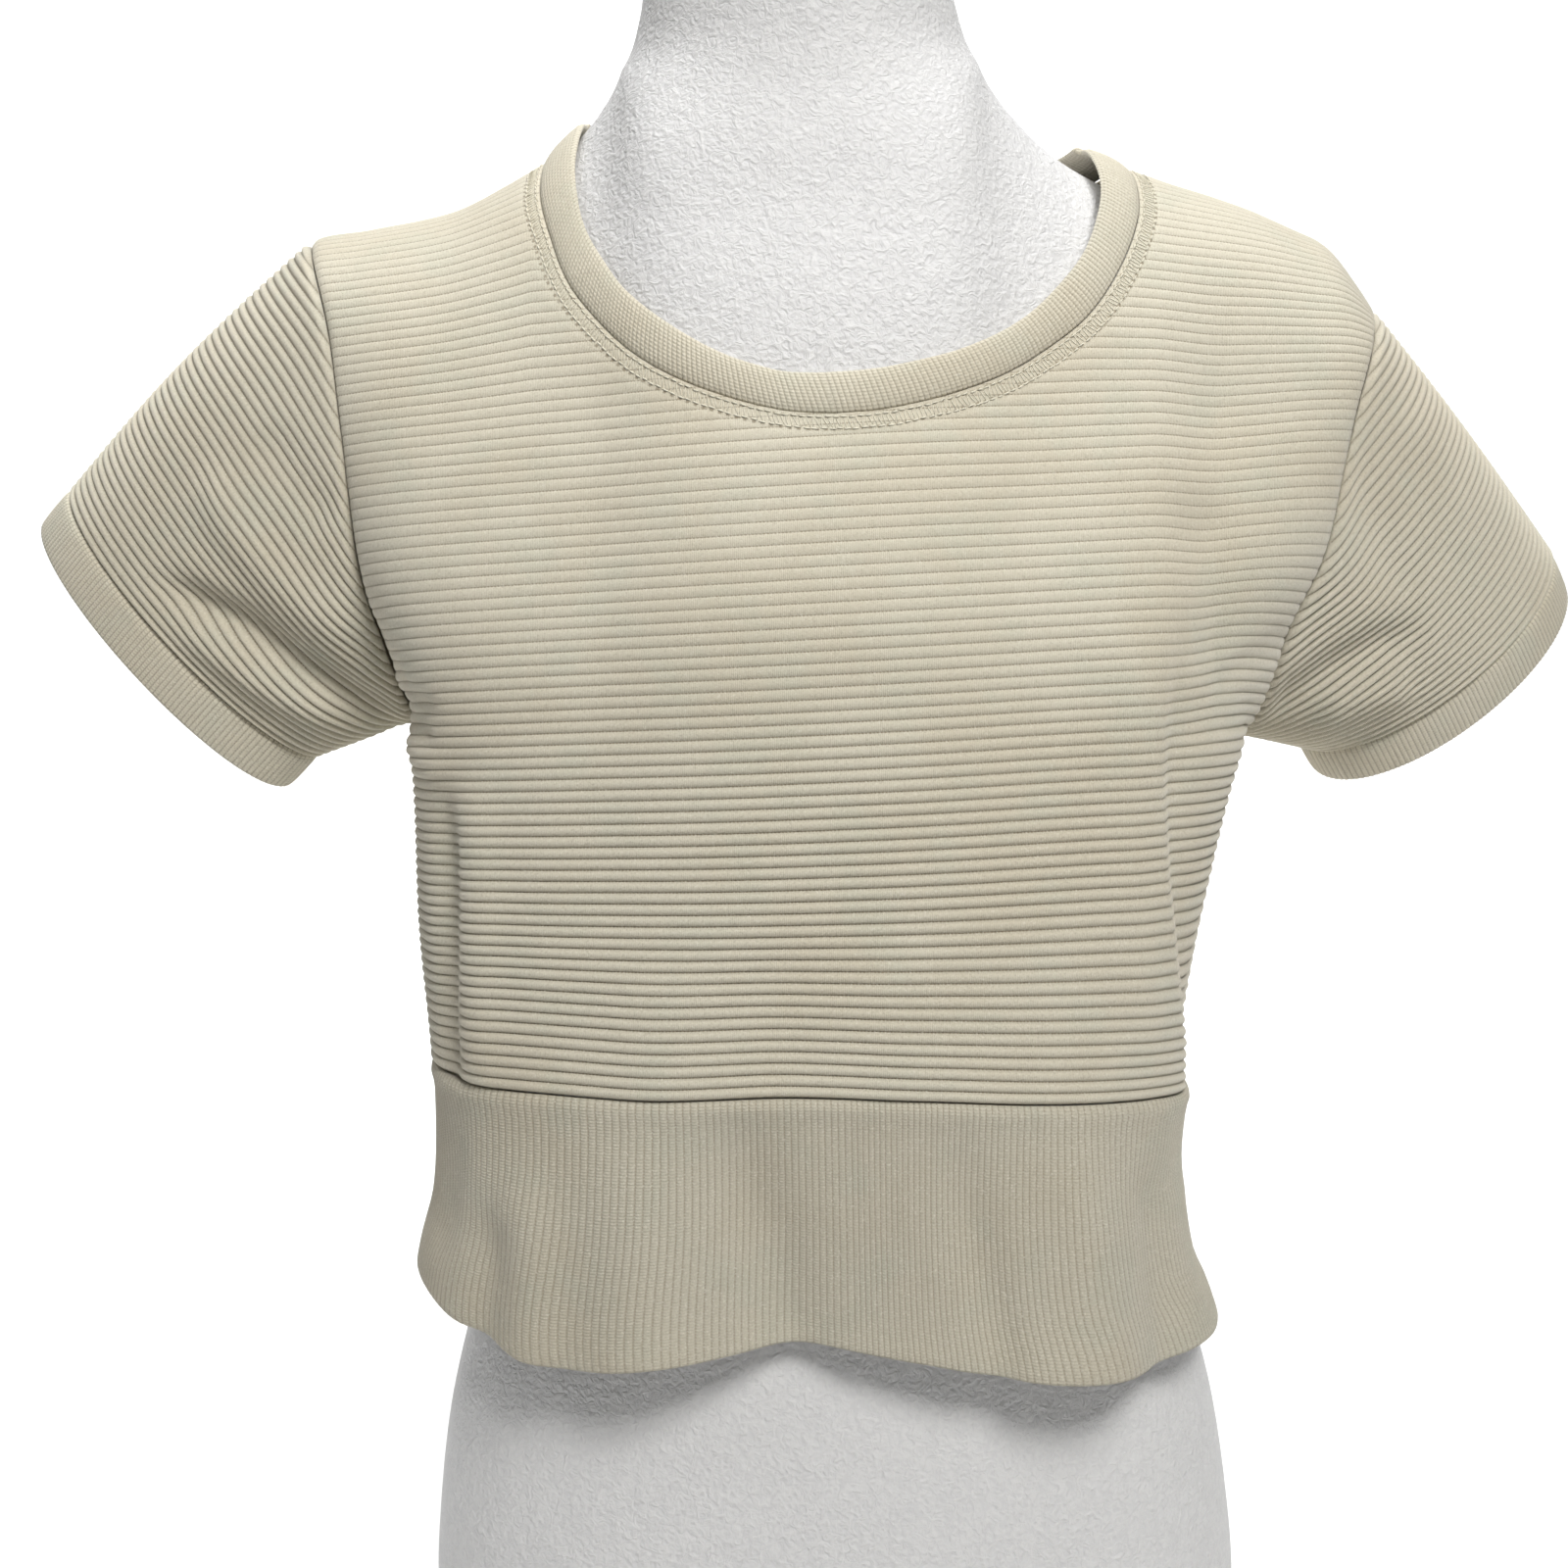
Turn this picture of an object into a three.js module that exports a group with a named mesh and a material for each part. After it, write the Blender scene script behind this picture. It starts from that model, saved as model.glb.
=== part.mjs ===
import * as THREE from "three";

// A short-sleeved crop top of cross-ribbed cloth, worn by a limbless dress form.
// Sizes are in millimetres. The origin is the centre of the form's flat base.
// X runs to the right of the front view, -Y is the front and Z is up.

const WALL = 1.6;            // cloth in the valleys between two ribs
const RIB_RISE = 1.0;        // a rib above the valleys beside it
const RIB_PITCH = 4.2;       // from one rib to the next
const BAND_WALL = 2.2;       // doubled fine rib of the bands
const SEAM_GAP = 0.3;        // between two pieces at a seam
const SHOULDER_ROUND = 34;   // radius of the cloth over the shoulders
const FORM_ROUND = 29;       // radius of the form's own shoulders
const BODY_COLUMNS = 10;
const SLEEVE_COLUMNS = 14;
const MIDDLE = 8;            // the neck stands this far right of the form's middle

// Cloth's body at a height: half widths at the edges, depths and squareness.
const BODY = [
  { z: 150, left: 146, right: 152, front: 110, back: 101, square: 2.8 },
  { z: 174, left: 156, right: 145, front: 110, back: 101, square: 2.8 },
  { z: 190, left: 156.5, right: 138.5, front: 109, back: 100, square: 2.9 },
  { z: 222, left: 149, right: 134.5, front: 110, back: 99, square: 3.0 },
  { z: 250, left: 146.5, right: 136, front: 111, back: 98, square: 3.0 },
  { z: 276, left: 146.5, right: 138.5, front: 113, back: 98, square: 3.0 },
  { z: 323, left: 149.5, right: 146, front: 117, back: 99, square: 2.9 },
  { z: 369, left: 150, right: 156.5, front: 120, back: 101, square: 2.8 },
  { z: 395, left: 151.5, right: 165.5, front: 121, back: 103, square: 2.8 },
  { z: 427, left: 158, right: 174, front: 121, back: 105, square: 2.8 },
  { z: 452, left: 164, right: 185.5, front: 117, back: 106, square: 2.7 },
  { z: 485, left: 167, right: 193, front: 108, back: 106, square: 2.6 },
  { z: 508, left: 169, right: 199, front: 99, back: 104, square: 2.6 },
  { z: 545, left: 174, right: 213, front: 88, back: 97, square: 2.5 },
  { z: 580, left: 186, right: 222, front: 78, back: 88, square: 2.5 },
  { z: 625, left: 205, right: 232, front: 66, back: 76, square: 2.4 },
  { z: 665, left: 205, right: 232, front: 56, back: 62, square: 2.2 },
];

// Ridge of the shoulders: height at a distance from the middle.
const RIDGE = [
  { x: 0, left: 800, right: 800 },
  { x: 20, left: 780, right: 780 },
  { x: 40, left: 728, right: 728 },
  { x: 58, left: 670, right: 670 },
  { x: 68, left: 642, right: 642 },
  { x: 75, left: 628.6, right: 628.6 },
  { x: 82, left: 620.6, right: 620.6 },
  { x: 88, left: 615, right: 615.4 },
  { x: 98, left: 606.5, right: 611 },
  { x: 112, left: 598.4, right: 604.6 },
  { x: 132, left: 589.4, right: 595.8 },
  { x: 164, left: 583.5, right: 584.6 },
  { x: 184, left: 580.5, right: 575.5 },
  { x: 196, left: 572, right: 569 },
  { x: 206, left: 565, right: 556 },
  { x: 214, left: 558, right: 543 },
  { x: 224, left: 548, right: 527 },
];

// The armhole's edge stands this far from the middle plane, above the underarm.
const ARMHOLE = [
  { above: 0, open: 0 },
  { above: 4, open: 14 },
  { above: 12, open: 25 },
  { above: 28, open: 38 },
  { above: 50, open: 48 },
  { above: 75, open: 54 },
  { above: 110, open: 56 },
  { above: 230, open: 56 },
];
const UNDERARM = { left: 401, right: 388 };

// Neck seam: where it lies left and right at a height, front and back.
const NECK_FRONT = [
  { z: 502, left: 7, right: 9 },
  { z: 502.5, left: -2.5, right: 19 },
  { z: 504, left: -12, right: 30 },
  { z: 508, left: -26, right: 47 },
  { z: 515, left: -43, right: 66 },
  { z: 524, left: -58, right: 82 },
  { z: 536, left: -71, right: 98 },
  { z: 553, left: -84, right: 111 },
  { z: 574, left: -92, right: 121 },
  { z: 589, left: -96, right: 123.5 },
  { z: 600, left: -96.5, right: 122.5 },
  { z: 613, left: -95.5, right: 120 },
];
const NECK_BACK = [
  { z: 586, left: 11, right: 13 },
  { z: 587, left: -8, right: 34 },
  { z: 590, left: -36, right: 66 },
  { z: 595, left: -60, right: 94 },
  { z: 601, left: -80, right: 119 },
  { z: 607, left: -91, right: 124 },
  { z: 613, left: -95.5, right: 125 },
];

// Opening of the neckband.
const OPENING_FRONT = [
  { z: 516.5, left: 2, right: 5 },
  { z: 516.9, left: -6, right: 15 },
  { z: 518.2, left: -13, right: 27 },
  { z: 524, left: -29, right: 51 },
  { z: 535, left: -47, right: 73.5 },
  { z: 548, left: -62, right: 88.5 },
  { z: 560, left: -70.5, right: 98.5 },
  { z: 574, left: -78, right: 105 },
  { z: 588, left: -81.3, right: 108.5 },
  { z: 602, left: -82.5, right: 107.5 },
  { z: 624, left: -80.5, right: 100 },
];
const OPENING_BACK = [
  { z: 600, left: 6, right: 12 },
  { z: 601, left: -10, right: 34 },
  { z: 604, left: -34, right: 72 },
  { z: 609, left: -56, right: 104 },
  { z: 614, left: -70, right: 110 },
  { z: 624, left: -80.5, right: 112 },
];

// Seam between body and waistband, and the hem: height across the front.
const WAIST = [
  { x: -165, seam: 274, hem: 194, hemBack: 190 },
  { x: -150, seam: 273.5, hem: 191, hemBack: 188 },
  { x: -132, seam: 271.5, hem: 182, hemBack: 181 },
  { x: -97, seam: 271, hem: 174, hemBack: 176 },
  { x: -60, seam: 269.6, hem: 176.5, hemBack: 175 },
  { x: -12, seam: 270.2, hem: 180.6, hemBack: 174 },
  { x: 30, seam: 268, hem: 175, hemBack: 172 },
  { x: 66, seam: 264.8, hem: 168.5, hemBack: 169 },
  { x: 115, seam: 260.5, hem: 163.5, hemBack: 164 },
  { x: 137, seam: 256, hem: 164, hemBack: 163 },
  { x: 160, seam: 252, hem: 161, hemBack: 161 },
];

// Soft flutes of the waistband: how far the hem stands out across the front.
const FLUTES = [
  { x: -165, out: 0 },
  { x: -110, out: -2 },
  { x: -62, out: 5 },
  { x: -16, out: -5 },
  { x: 35, out: 0 },
  { x: 84, out: 8 },
  { x: 125, out: -3 },
  { x: 165, out: 0 },
];

// Lean of the ribs across the body at a level, as a slope.
const LEAN = [
  { level: 270, slope: 0 },
  { level: 304, slope: -0.01 },
  { level: 329, slope: 0 },
  { level: 358, slope: 0.013 },
  { level: 382, slope: 0.02 },
  { level: 410, slope: 0.025 },
  { level: 440, slope: 0.03 },
  { level: 490, slope: 0.034 },
  { level: 560, slope: 0.03 },
  { level: 640, slope: 0.02 },
];

// Dress form at a height: half width, depths and squareness.
const FORM = [
  { z: 0, half: 154, front: 88, back: 96, square: 2.4 },
  { z: 50, half: 157, front: 90, back: 99, square: 2.4 },
  { z: 80, half: 156, front: 91, back: 99, square: 2.4 },
  { z: 130, half: 149.5, front: 92, back: 94, square: 2.4 },
  { z: 175, half: 138, front: 90, back: 86, square: 2.4 },
  { z: 235, half: 122, front: 86, back: 78, square: 2.4 },
  { z: 300, half: 131, front: 92, back: 84, square: 2.4 },
  { z: 360, half: 141, front: 101, back: 90, square: 2.4 },
  { z: 400, half: 146, front: 104, back: 93, square: 2.4 },
  { z: 450, half: 154, front: 101, back: 94, square: 2.4 },
  { z: 500, half: 164, front: 91, back: 92, square: 2.4 },
  { z: 545, half: 176, front: 80, back: 82, square: 2.4 },
  { z: 580, half: 182, front: 69, back: 68, square: 2.4 },
  { z: 600, half: 140, front: 64, back: 59, square: 2.3 },
  { z: 615, half: 104, front: 60, back: 56, square: 2.2 },
  { z: 627, half: 84, front: 57, back: 53, square: 2.1 },
  { z: 642, half: 67.5, front: 55, back: 52, square: 2 },
  { z: 662, half: 60, front: 54, back: 52, square: 2 },
  { z: 680, half: 58, front: 53, back: 52, square: 2 },
];
const FORM_RIDGE = [
  { x: 0, z: 860 },
  { x: 30, z: 800 },
  { x: 50, z: 725 },
  { x: 59, z: 680 },
  { x: 64, z: 656 },
  { x: 68, z: 640 },
  { x: 75, z: 627.8 },
  { x: 82, z: 619.2 },
  { x: 88, z: 612.8 },
  { x: 98, z: 604.4 },
  { x: 112, z: 596 },
  { x: 132, z: 586.6 },
  { x: 164, z: 579.6 },
  { x: 174, z: 575 },
  { x: 182, z: 566 },
  { x: 188, z: 548 },
];

// Sleeves: the cuff seam's centre, then its top and its front as seen from the centre,
// the way out along the arm, lengths under and over the arm, and how far the cloth bulges.
const SLEEVES = {
  left: {
    centre: [-242.5, 12.5, 439], top: [-46.5, 2.5, 49.5], front: [3.5, -29, -16.5],
    outward: [-0.7, 0.24, -0.67], underLength: 40, topLength: 138, bulge: 4, behind: 1,
  },
  right: {
    centre: [248, 38, 418], top: [48.5, 8, 38], front: [14.5, -25.5, -12],
    outward: [0.48, 0.5, -0.72], underLength: 38, topLength: 138, bulge: 1.5, behind: 3.3,
  },
};
const CUFF_DEPTH = 19;

const smooth = (t) => {
  const s = Math.min(1, Math.max(0, t));
  return s * s * (3 - 2 * s);
};

// Smooth curve through a table's rows.
function curve(table, key, column, at) {
  const last = table.length - 1;
  const x = Math.min(Math.max(at, table[0][key]), table[last][key]);
  let k = 0;
  while (k < last - 1 && x > table[k + 1][key]) k += 1;
  const slope = (i) => {
    const before = table[Math.max(i - 1, 0)];
    const after = table[Math.min(i + 1, last)];
    return (after[column] - before[column]) / (after[key] - before[key]);
  };
  const width = table[k + 1][key] - table[k][key];
  const t = (x - table[k][key]) / width;
  const u = 1 - t;
  const bend = t * u * u * width * slope(k) - t * t * u * width * slope(k + 1);
  return (1 + 2 * t) * u * u * table[k][column] + t * t * (3 - 2 * t) * table[k + 1][column] + bend;
}

const sideOf = (x) => (x < 0 ? "left" : "right");
const ridge = (x) => curve(RIDGE, "x", sideOf(x), Math.abs(x));

// The lesser of two distances, with a soft change between them.
function softLeast(a, b) {
  if (a < 0.01 || b < 0.01) return Math.min(a, b);
  return (a ** -5 + b ** -5) ** -0.2;
}

// Distance of the cloth's inside from the middle plane, at a place of the front view.
function reach(x, z, back) {
  const side = sideOf(x);
  const deep = curve(BODY, "z", back ? "back" : "front", z);
  const n = curve(BODY, "z", "square", z);
  const open = curve(ARMHOLE, "above", "open", z - UNDERARM[side]);
  const share = Math.min(1, Math.abs(x) / curve(BODY, "z", side, z));
  const wall = deep * Math.max(0, 1 - (1 - (open / deep) ** n) * share ** n) ** (1 / n);
  const over = Math.sqrt(2 * SHOULDER_ROUND * Math.max(0, ridge(x) - z));
  const flute = back ? 0 : curve(FLUTES, "x", "out", x) * Math.max(0, (290 - z) / 110) ** 1.5;
  return softLeast(wall, over) + flute * (1 - share ** 4);
}
const onBody = (x, z, back) => [x, (back ? 1 : -1) * reach(x, z, back), z];

// Height of a rib's level at x. Above the shoulders' rounding the cloth is unrolled.
const ROUND_RUN = (Math.PI / 2 - 1) * SHOULDER_ROUND;
function unrolled(x, level) {
  const seam = (curve(WAIST, "x", "seam", x) - 270) * (1 - smooth((level - 270) / 70));
  const drop = Math.abs(x) > 98 ? Math.max(0, ridge(Math.sign(x) * 98) - ridge(x)) : 0;
  return level + seam + curve(LEAN, "level", "slope", level) * x - 0.62 * smooth((level - 480) / 150) * drop;
}
function heightAt(x, level) {
  const left = ridge(x) + ROUND_RUN - unrolled(x, level);
  if (left >= (SHOULDER_ROUND * Math.PI) / 2) return unrolled(x, level);
  return ridge(x) - SHOULDER_ROUND * (1 - Math.cos(Math.max(0, left) / SHOULDER_ROUND));
}

// Last place outward from the middle where a test still holds.
function lastWhere(test, from, to) {
  const steps = 60;
  let inside = from;
  let outside = to;
  for (let k = 1; k <= steps; k += 1) {
    const x = from + ((to - from) * k) / steps;
    if (!test(x)) {
      outside = x;
      break;
    }
    inside = x;
  }
  for (let k = 0; k < 24; k += 1) {
    const x = (inside + outside) / 2;
    if (test(x)) inside = x;
    else outside = x;
  }
  return inside;
}

// Outer end of a rib on one side: the side seam, the armhole or the shoulder seam.
function ribEnd(sign, level) {
  const onCloth = (x) => {
    const z = heightAt(x, level);
    const within = Math.abs(x) <= curve(BODY, "z", sign < 0 ? "left" : "right", z);
    return within && ridge(x) + ROUND_RUN >= unrolled(x, level);
  };
  return lastWhere(onCloth, MIDDLE + sign, sign * 235);
}

// Inner end of a rib on one side: the neck seam, or the middle below the neck.
function ribStart(sign, level, back) {
  const neck = back ? NECK_BACK : NECK_FRONT;
  const inHole = (x) => {
    const z = heightAt(x, level);
    if (z < neck[0].z) return false;
    return sign < 0 ? x > curve(neck, "z", "left", z) : x < curve(neck, "z", "right", z);
  };
  if (!inHole(MIDDLE + sign * 0.1)) return MIDDLE;
  return lastWhere(inHole, MIDDLE + sign * 0.1, sign * 150);
}

// Columns of a rib stand even around the body, closer where it turns at the sides.
function spread(f, level) {
  const angle = (f * Math.PI) / 2;
  const r = (Math.sin(angle) ** 3 + (Math.cos(angle) / 0.75) ** 3) ** (-1 / 3);
  const even = Math.min(1, (r * Math.sin(angle)) / (1 + 0.028 * Math.sin(Math.PI * f)));
  return even + (f - even) * smooth((level - 385) / 60);
}

// One half of a rib, from its outer end to its inner end.
function halfRib(sign, level, back) {
  const end = ribEnd(sign, level);
  const start = ribStart(sign, level, back);
  const points = [];
  for (let c = 0; c <= BODY_COLUMNS / 2; c += 1) {
    const x = start + (end - start) * spread(1 - c / (BODY_COLUMNS / 2), level);
    points.push(onBody(x, heightAt(x, level), back));
  }
  return points;
}

const vector = (p) => new THREE.Vector3(p[0], p[1], p[2]);
const along = (p, n, d) => [p[0] + n.x * d, p[1] + n.y * d, p[2] + n.z * d];
const between = (a, b, t) => a.map((value, k) => value + (b[k] - value) * t);
const everyPlace = (from, to) => Array.from({ length: to - from + 1 }, (_, k) => from + k);

// Direction out of the cloth at a place of the front or back view.
function outOf(x, z, back) {
  const side = x < 8 ? -1 : 1;
  const step = 0.6;
  const here = reach(x, z, back);
  const slopeX = ((here - reach(x - side * step, z, back)) / step) * side;
  const slopeZ = (here - reach(x, z - step, back)) / step;
  const flat = here < 0.5 ? 0 : 1;
  return new THREE.Vector3(-slopeX, (back ? 1 : -1) * flat, -slopeZ).normalize();
}

// Front and back stand apart by a seam's gap where they meet.
function partedAtSeam(p, back) {
  if (Math.abs(p[1]) >= SEAM_GAP / 2) return p;
  return [p[0], (back ? 1 : -1) * (SEAM_GAP / 2), p[2]];
}

// Points and triangles of one closed wall.
class Wall {
  constructor() {
    this.points = [];
    this.faces = [];
  }

  put(p) {
    this.points.push(p);
    return this.points.length - 1;
  }

  // A sheet of four-cornered cells, each cut along its diagonal.
  sheet(ids, flip) {
    for (let r = 0; r + 1 < ids.length; r += 1) {
      for (let c = 0; c + 1 < ids[r].length; c += 1) {
        const corners = [ids[r][c], ids[r][c + 1], ids[r + 1][c + 1], ids[r + 1][c]];
        if (flip) corners.reverse();
        this.faces.push([corners[0], corners[1], corners[2]], [corners[0], corners[2], corners[3]]);
      }
    }
  }

  // Closes the rim between an outer edge and an inner edge that skips some of its places.
  rim(outer, inner) {
    let k = 0;
    for (let i = 0; i + 1 < outer.length; i += 1) {
      this.faces.push([outer[i].id, inner[k].id, outer[i + 1].id]);
      if (k + 1 < inner.length && inner[k + 1].key === outer[i + 1].key) {
        this.faces.push([inner[k].id, inner[k + 1].id, outer[i + 1].id]);
        k += 1;
      }
    }
  }

  mesh(name, colour, roughness) {
    let volume = 0;
    for (const [a, b, c] of this.faces) {
      volume += vector(this.points[a]).dot(vector(this.points[b]).cross(vector(this.points[c])));
    }
    if (volume < 0) this.faces.forEach((face) => face.reverse());
    const geometry = new THREE.BufferGeometry();
    geometry.setAttribute("position", new THREE.Float32BufferAttribute(this.points.flat(), 3));
    geometry.setIndex(this.faces.flat());
    geometry.computeVertexNormals();
    const mesh = new THREE.Mesh(geometry, new THREE.MeshStandardMaterial({ color: colour, roughness }));
    mesh.name = name;
    return mesh;
  }
}

// Rows that the plain inside keeps: the first, the last and every few between.
function keptRows(first, last, every) {
  const count = Math.max(1, Math.round((last - first) / every));
  return everyPlace(0, count).map((k) => Math.round(first + ((last - first) * k) / count));
}

// A wall whose outer points are rows across it. The inside keeps only some of the rows.
function slab(outerRows, innerRows, every) {
  const wall = new Wall();
  const last = outerRows.length - 1;
  const wide = outerRows[0].length - 1;
  const rows = keptRows(0, last, every);
  const outer = outerRows.map((row) => row.map((p) => wall.put(p)));
  const inner = innerRows.map((row, r) => (rows.includes(r) ? row.map((p) => wall.put(p)) : []));
  wall.sheet(outer, false);
  wall.sheet(rows.map((r) => inner[r]), true);
  const loop = (ids, list) => [
    ...everyPlace(0, wide).map((c) => ({ id: ids[0][c], key: `0,${c}` })),
    ...list.slice(1).map((r) => ({ id: ids[r][wide], key: `${r},${wide}` })),
    ...everyPlace(0, wide - 1).reverse().map((c) => ({ id: ids[last][c], key: `${last},${c}` })),
    ...list.slice(0, -1).reverse().map((r) => ({ id: ids[r][0], key: `${r},0` })),
  ];
  wall.rim(loop(outer, everyPlace(0, last)), loop(inner, rows));
  return wall;
}

// A closed ring from closed sections.
function ring(sections) {
  const wall = new Wall();
  const ids = sections.map((section) => section.map((p) => wall.put(p)));
  const closed = [...ids, ids[0]].map((section) => [...section, section[0]]);
  wall.sheet(closed, false);
  return wall;
}

// A body panel: ribs are rows of points, and above the neck they go on as two halves.
function bodyPanel(back) {
  const middle = BODY_COLUMNS / 2;
  const ribs = { left: [], right: [] };
  for (const side of ["left", "right"]) {
    for (let level = 270; level < 660; level += RIB_PITCH / 2) {
      const row = halfRib(side === "left" ? -1 : 1, level, back);
      if (Math.abs(row[0][0]) - Math.abs(row[middle][0]) < 3) break;
      ribs[side].push(row);
    }
  }
  const whole = (r) => ribs.left[r][middle][0] === MIDDLE && ribs.right[r][middle][0] === MIDDLE;
  let split = 0;
  while (whole(split + 1)) split += 1;

  const wall = new Wall();
  const outer = {};
  const inner = {};
  const rows = {};
  for (const side of ["left", "right"]) {
    const shared = (r, c) => side === "right" && r <= split && c === middle;
    const near = [1, 2, 3, 5, 8].map((r) => split + r);
    rows[side] = [...keptRows(0, split, 7), ...near, ...keptRows(split + 8, ribs[side].length - 1, 6).slice(1)];
    outer[side] = ribs[side].map((row, r) => row.map((p, c) => {
      if (shared(r, c)) return outer.left[r][c];
      const lift = WALL + (r % 2 === 1 ? RIB_RISE : 0);
      const n = outOf(p[0], p[2], back);
      if (c === 0) n.setX(n.x * (1 - 0.7 * Math.min(1, Math.abs(p[1]) / 40))).normalize();
      return wall.put(along(partedAtSeam(p, back), n, lift));
    }));
    inner[side] = ribs[side].map((row, r) => row.map((p, c) => {
      if (!rows[side].includes(r)) return -1;
      return shared(r, c) ? inner.left[r][c] : wall.put(partedAtSeam(p, back));
    }));
    wall.sheet(outer[side], side === "right");
    wall.sheet(rows[side].map((r) => inner[side][r]), side === "left");
  }
  const loop = (ids, left, right) => {
    const place = (side, r, c) => ({ id: ids[side][r][c], key: `${side},${r},${c}` });
    const inward = everyPlace(0, middle);
    const outward = everyPlace(0, middle - 1).reverse();
    return [
      ...inward.map((c) => place("left", 0, c)),
      ...outward.map((c) => place("right", 0, c)),
      ...right.slice(1).map((r) => place("right", r, 0)),
      ...inward.slice(1).map((c) => place("right", right.at(-1), c)),
      ...right.slice(0, -1).filter((r) => r > split).reverse().map((r) => place("right", r, middle)),
      ...left.filter((r) => r >= split).map((r) => place("left", r, middle)),
      ...outward.map((c) => place("left", left.at(-1), c)),
      ...left.slice(0, -1).reverse().map((r) => place("left", r, 0)),
    ];
  };
  const all = (side) => everyPlace(0, ribs[side].length - 1);
  wall.rim(loop(outer, all("left"), all("right")), loop(inner, rows.left, rows.right));
  return wall;
}

// Half of the waistband, from below the band seam to the hem.
function waistband(back) {
  const across = everyPlace(0, 20).map((k) => k / 10 - 1);
  const down = everyPlace(0, 7).map((k) => 1 - k / 7);
  const outer = [];
  const inner = [];
  for (const v of down) {
    const row = across.map((f) => {
      let x = f * 150;
      let z = 220;
      for (let k = 0; k < 4; k += 1) {
        const top = curve(WAIST, "x", "seam", x) - 2 * SEAM_GAP;
        z = top - (top - curve(WAIST, "x", back ? "hemBack" : "hem", x)) * v;
        const edge = curve(BODY, "z", sideOf(f), z);
        x = MIDDLE + (Math.sign(f) * edge - MIDDLE) * spread(Math.abs(f), 270);
      }
      return onBody(x, z, back);
    });
    inner.push(row.map((p) => partedAtSeam(p, back)));
    outer.push(row.map((p) => along(partedAtSeam(p, back), outOf(p[0], p[2], back), BAND_WALL)));
  }
  return slab(outer, inner, 2);
}

// Edge of an armhole: the underarm at 0, the front at 0.25, the shoulder at 0.5, the back at 0.75.
function armholeEdge(side, u) {
  const sign = side === "left" ? -1 : 1;
  let top = 500;
  while (ridge(sign * curve(BODY, "z", side, top)) > top) top += 0.2;
  const z = UNDERARM[side] + ((top - UNDERARM[side]) * (1 - Math.cos(2 * Math.PI * u))) / 2;
  return onBody(sign * curve(BODY, "z", side, z), z, u > 0.5);
}

// Edge of a cuff seam, moved out along the arm by a distance.
function cuffEdge(side, u, out) {
  const sleeve = SLEEVES[side];
  const up = -Math.cos(2 * Math.PI * u);
  const fore = Math.sin(2 * Math.PI * u);
  return sleeve.centre.map((value, k) => (
    value + sleeve.top[k] * up + sleeve.front[k] * fore + sleeve.outward[k] * out
  ));
}

// A sleeve's inside at a distance from the cuff seam.
function onSleeve(side, u, from) {
  const sleeve = SLEEVES[side];
  const whole = sleeveLength(side, u);
  const w = Math.min(1, from / whole);
  const cuff = cuffEdge(side, u, 0);
  const edge = armholeEdge(side, u);
  const under = 3.3 * Math.max(0, Math.cos(2 * Math.PI * u));
  const behind = sleeve.behind * Math.max(0, -Math.sin(2 * Math.PI * u));
  const clear = (3 * SEAM_GAP + under + behind) / whole;
  const p = between(cuff, between(edge, cuff, clear), w);
  const radial = vector(cuff).sub(vector(sleeve.centre)).normalize();
  return along(p, radial, sleeve.bulge * Math.sin(Math.PI * w) * Math.sin(Math.PI * u));
}
function sleeveLength(side, u) {
  const { underLength, topLength } = SLEEVES[side];
  return underLength + (topLength - underLength) * Math.sin(Math.PI * u) ** 1.26;
}

// A sleeve: ribs lie at even distances from the cuff, and the armhole cuts the upper ones.
function sleeve(side) {
  const { underLength, topLength, centre } = SLEEVES[side];
  const outward = vector(SLEEVES[side].outward).normalize();
  const inner = [];
  const distances = [];
  for (let from = 0; from < topLength - 1; from += RIB_PITCH / 2) {
    const share = Math.max(0, (from - underLength) / (topLength - underLength));
    const start = Math.max(0.0005, Math.asin(share ** (1 / 1.26)) / Math.PI);
    const row = everyPlace(0, SLEEVE_COLUMNS).map((c) => {
      const u = start + (1 - 2 * start) * (c / SLEEVE_COLUMNS);
      return onSleeve(side, u, from);
    });
    inner.push(row);
    distances.push(from);
  }
  const armCentre = between(armholeEdge(side, 0.25), armholeEdge(side, 0.75), 0.5);
  const last = inner.length - 1;
  const outer = inner.map((row, r) => row.map((p, c) => {
    const closed = distances[r] < underLength;
    const before = c > 0 ? row[c - 1] : closed ? row[SLEEVE_COLUMNS - 1] : row[0];
    const after = c < SLEEVE_COLUMNS ? row[c + 1] : closed ? row[1] : row[SLEEVE_COLUMNS];
    const below = inner[Math.max(0, r - 1)][c];
    const above = inner[Math.min(last, r + 1)][c];
    const n = vector(after).sub(vector(before)).cross(vector(above).sub(vector(below))).normalize();
    const middle = between(centre, armCentre, distances[r] / topLength);
    if (n.dot(vector(p).sub(vector(middle))) < 0) n.negate();
    if (r === 0) n.addScaledVector(outward, -n.dot(outward)).normalize();
    return along(p, n, WALL + (r % 2 === 1 ? RIB_RISE : 0));
  }));
  return slab(outer, inner, 8);
}

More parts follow.
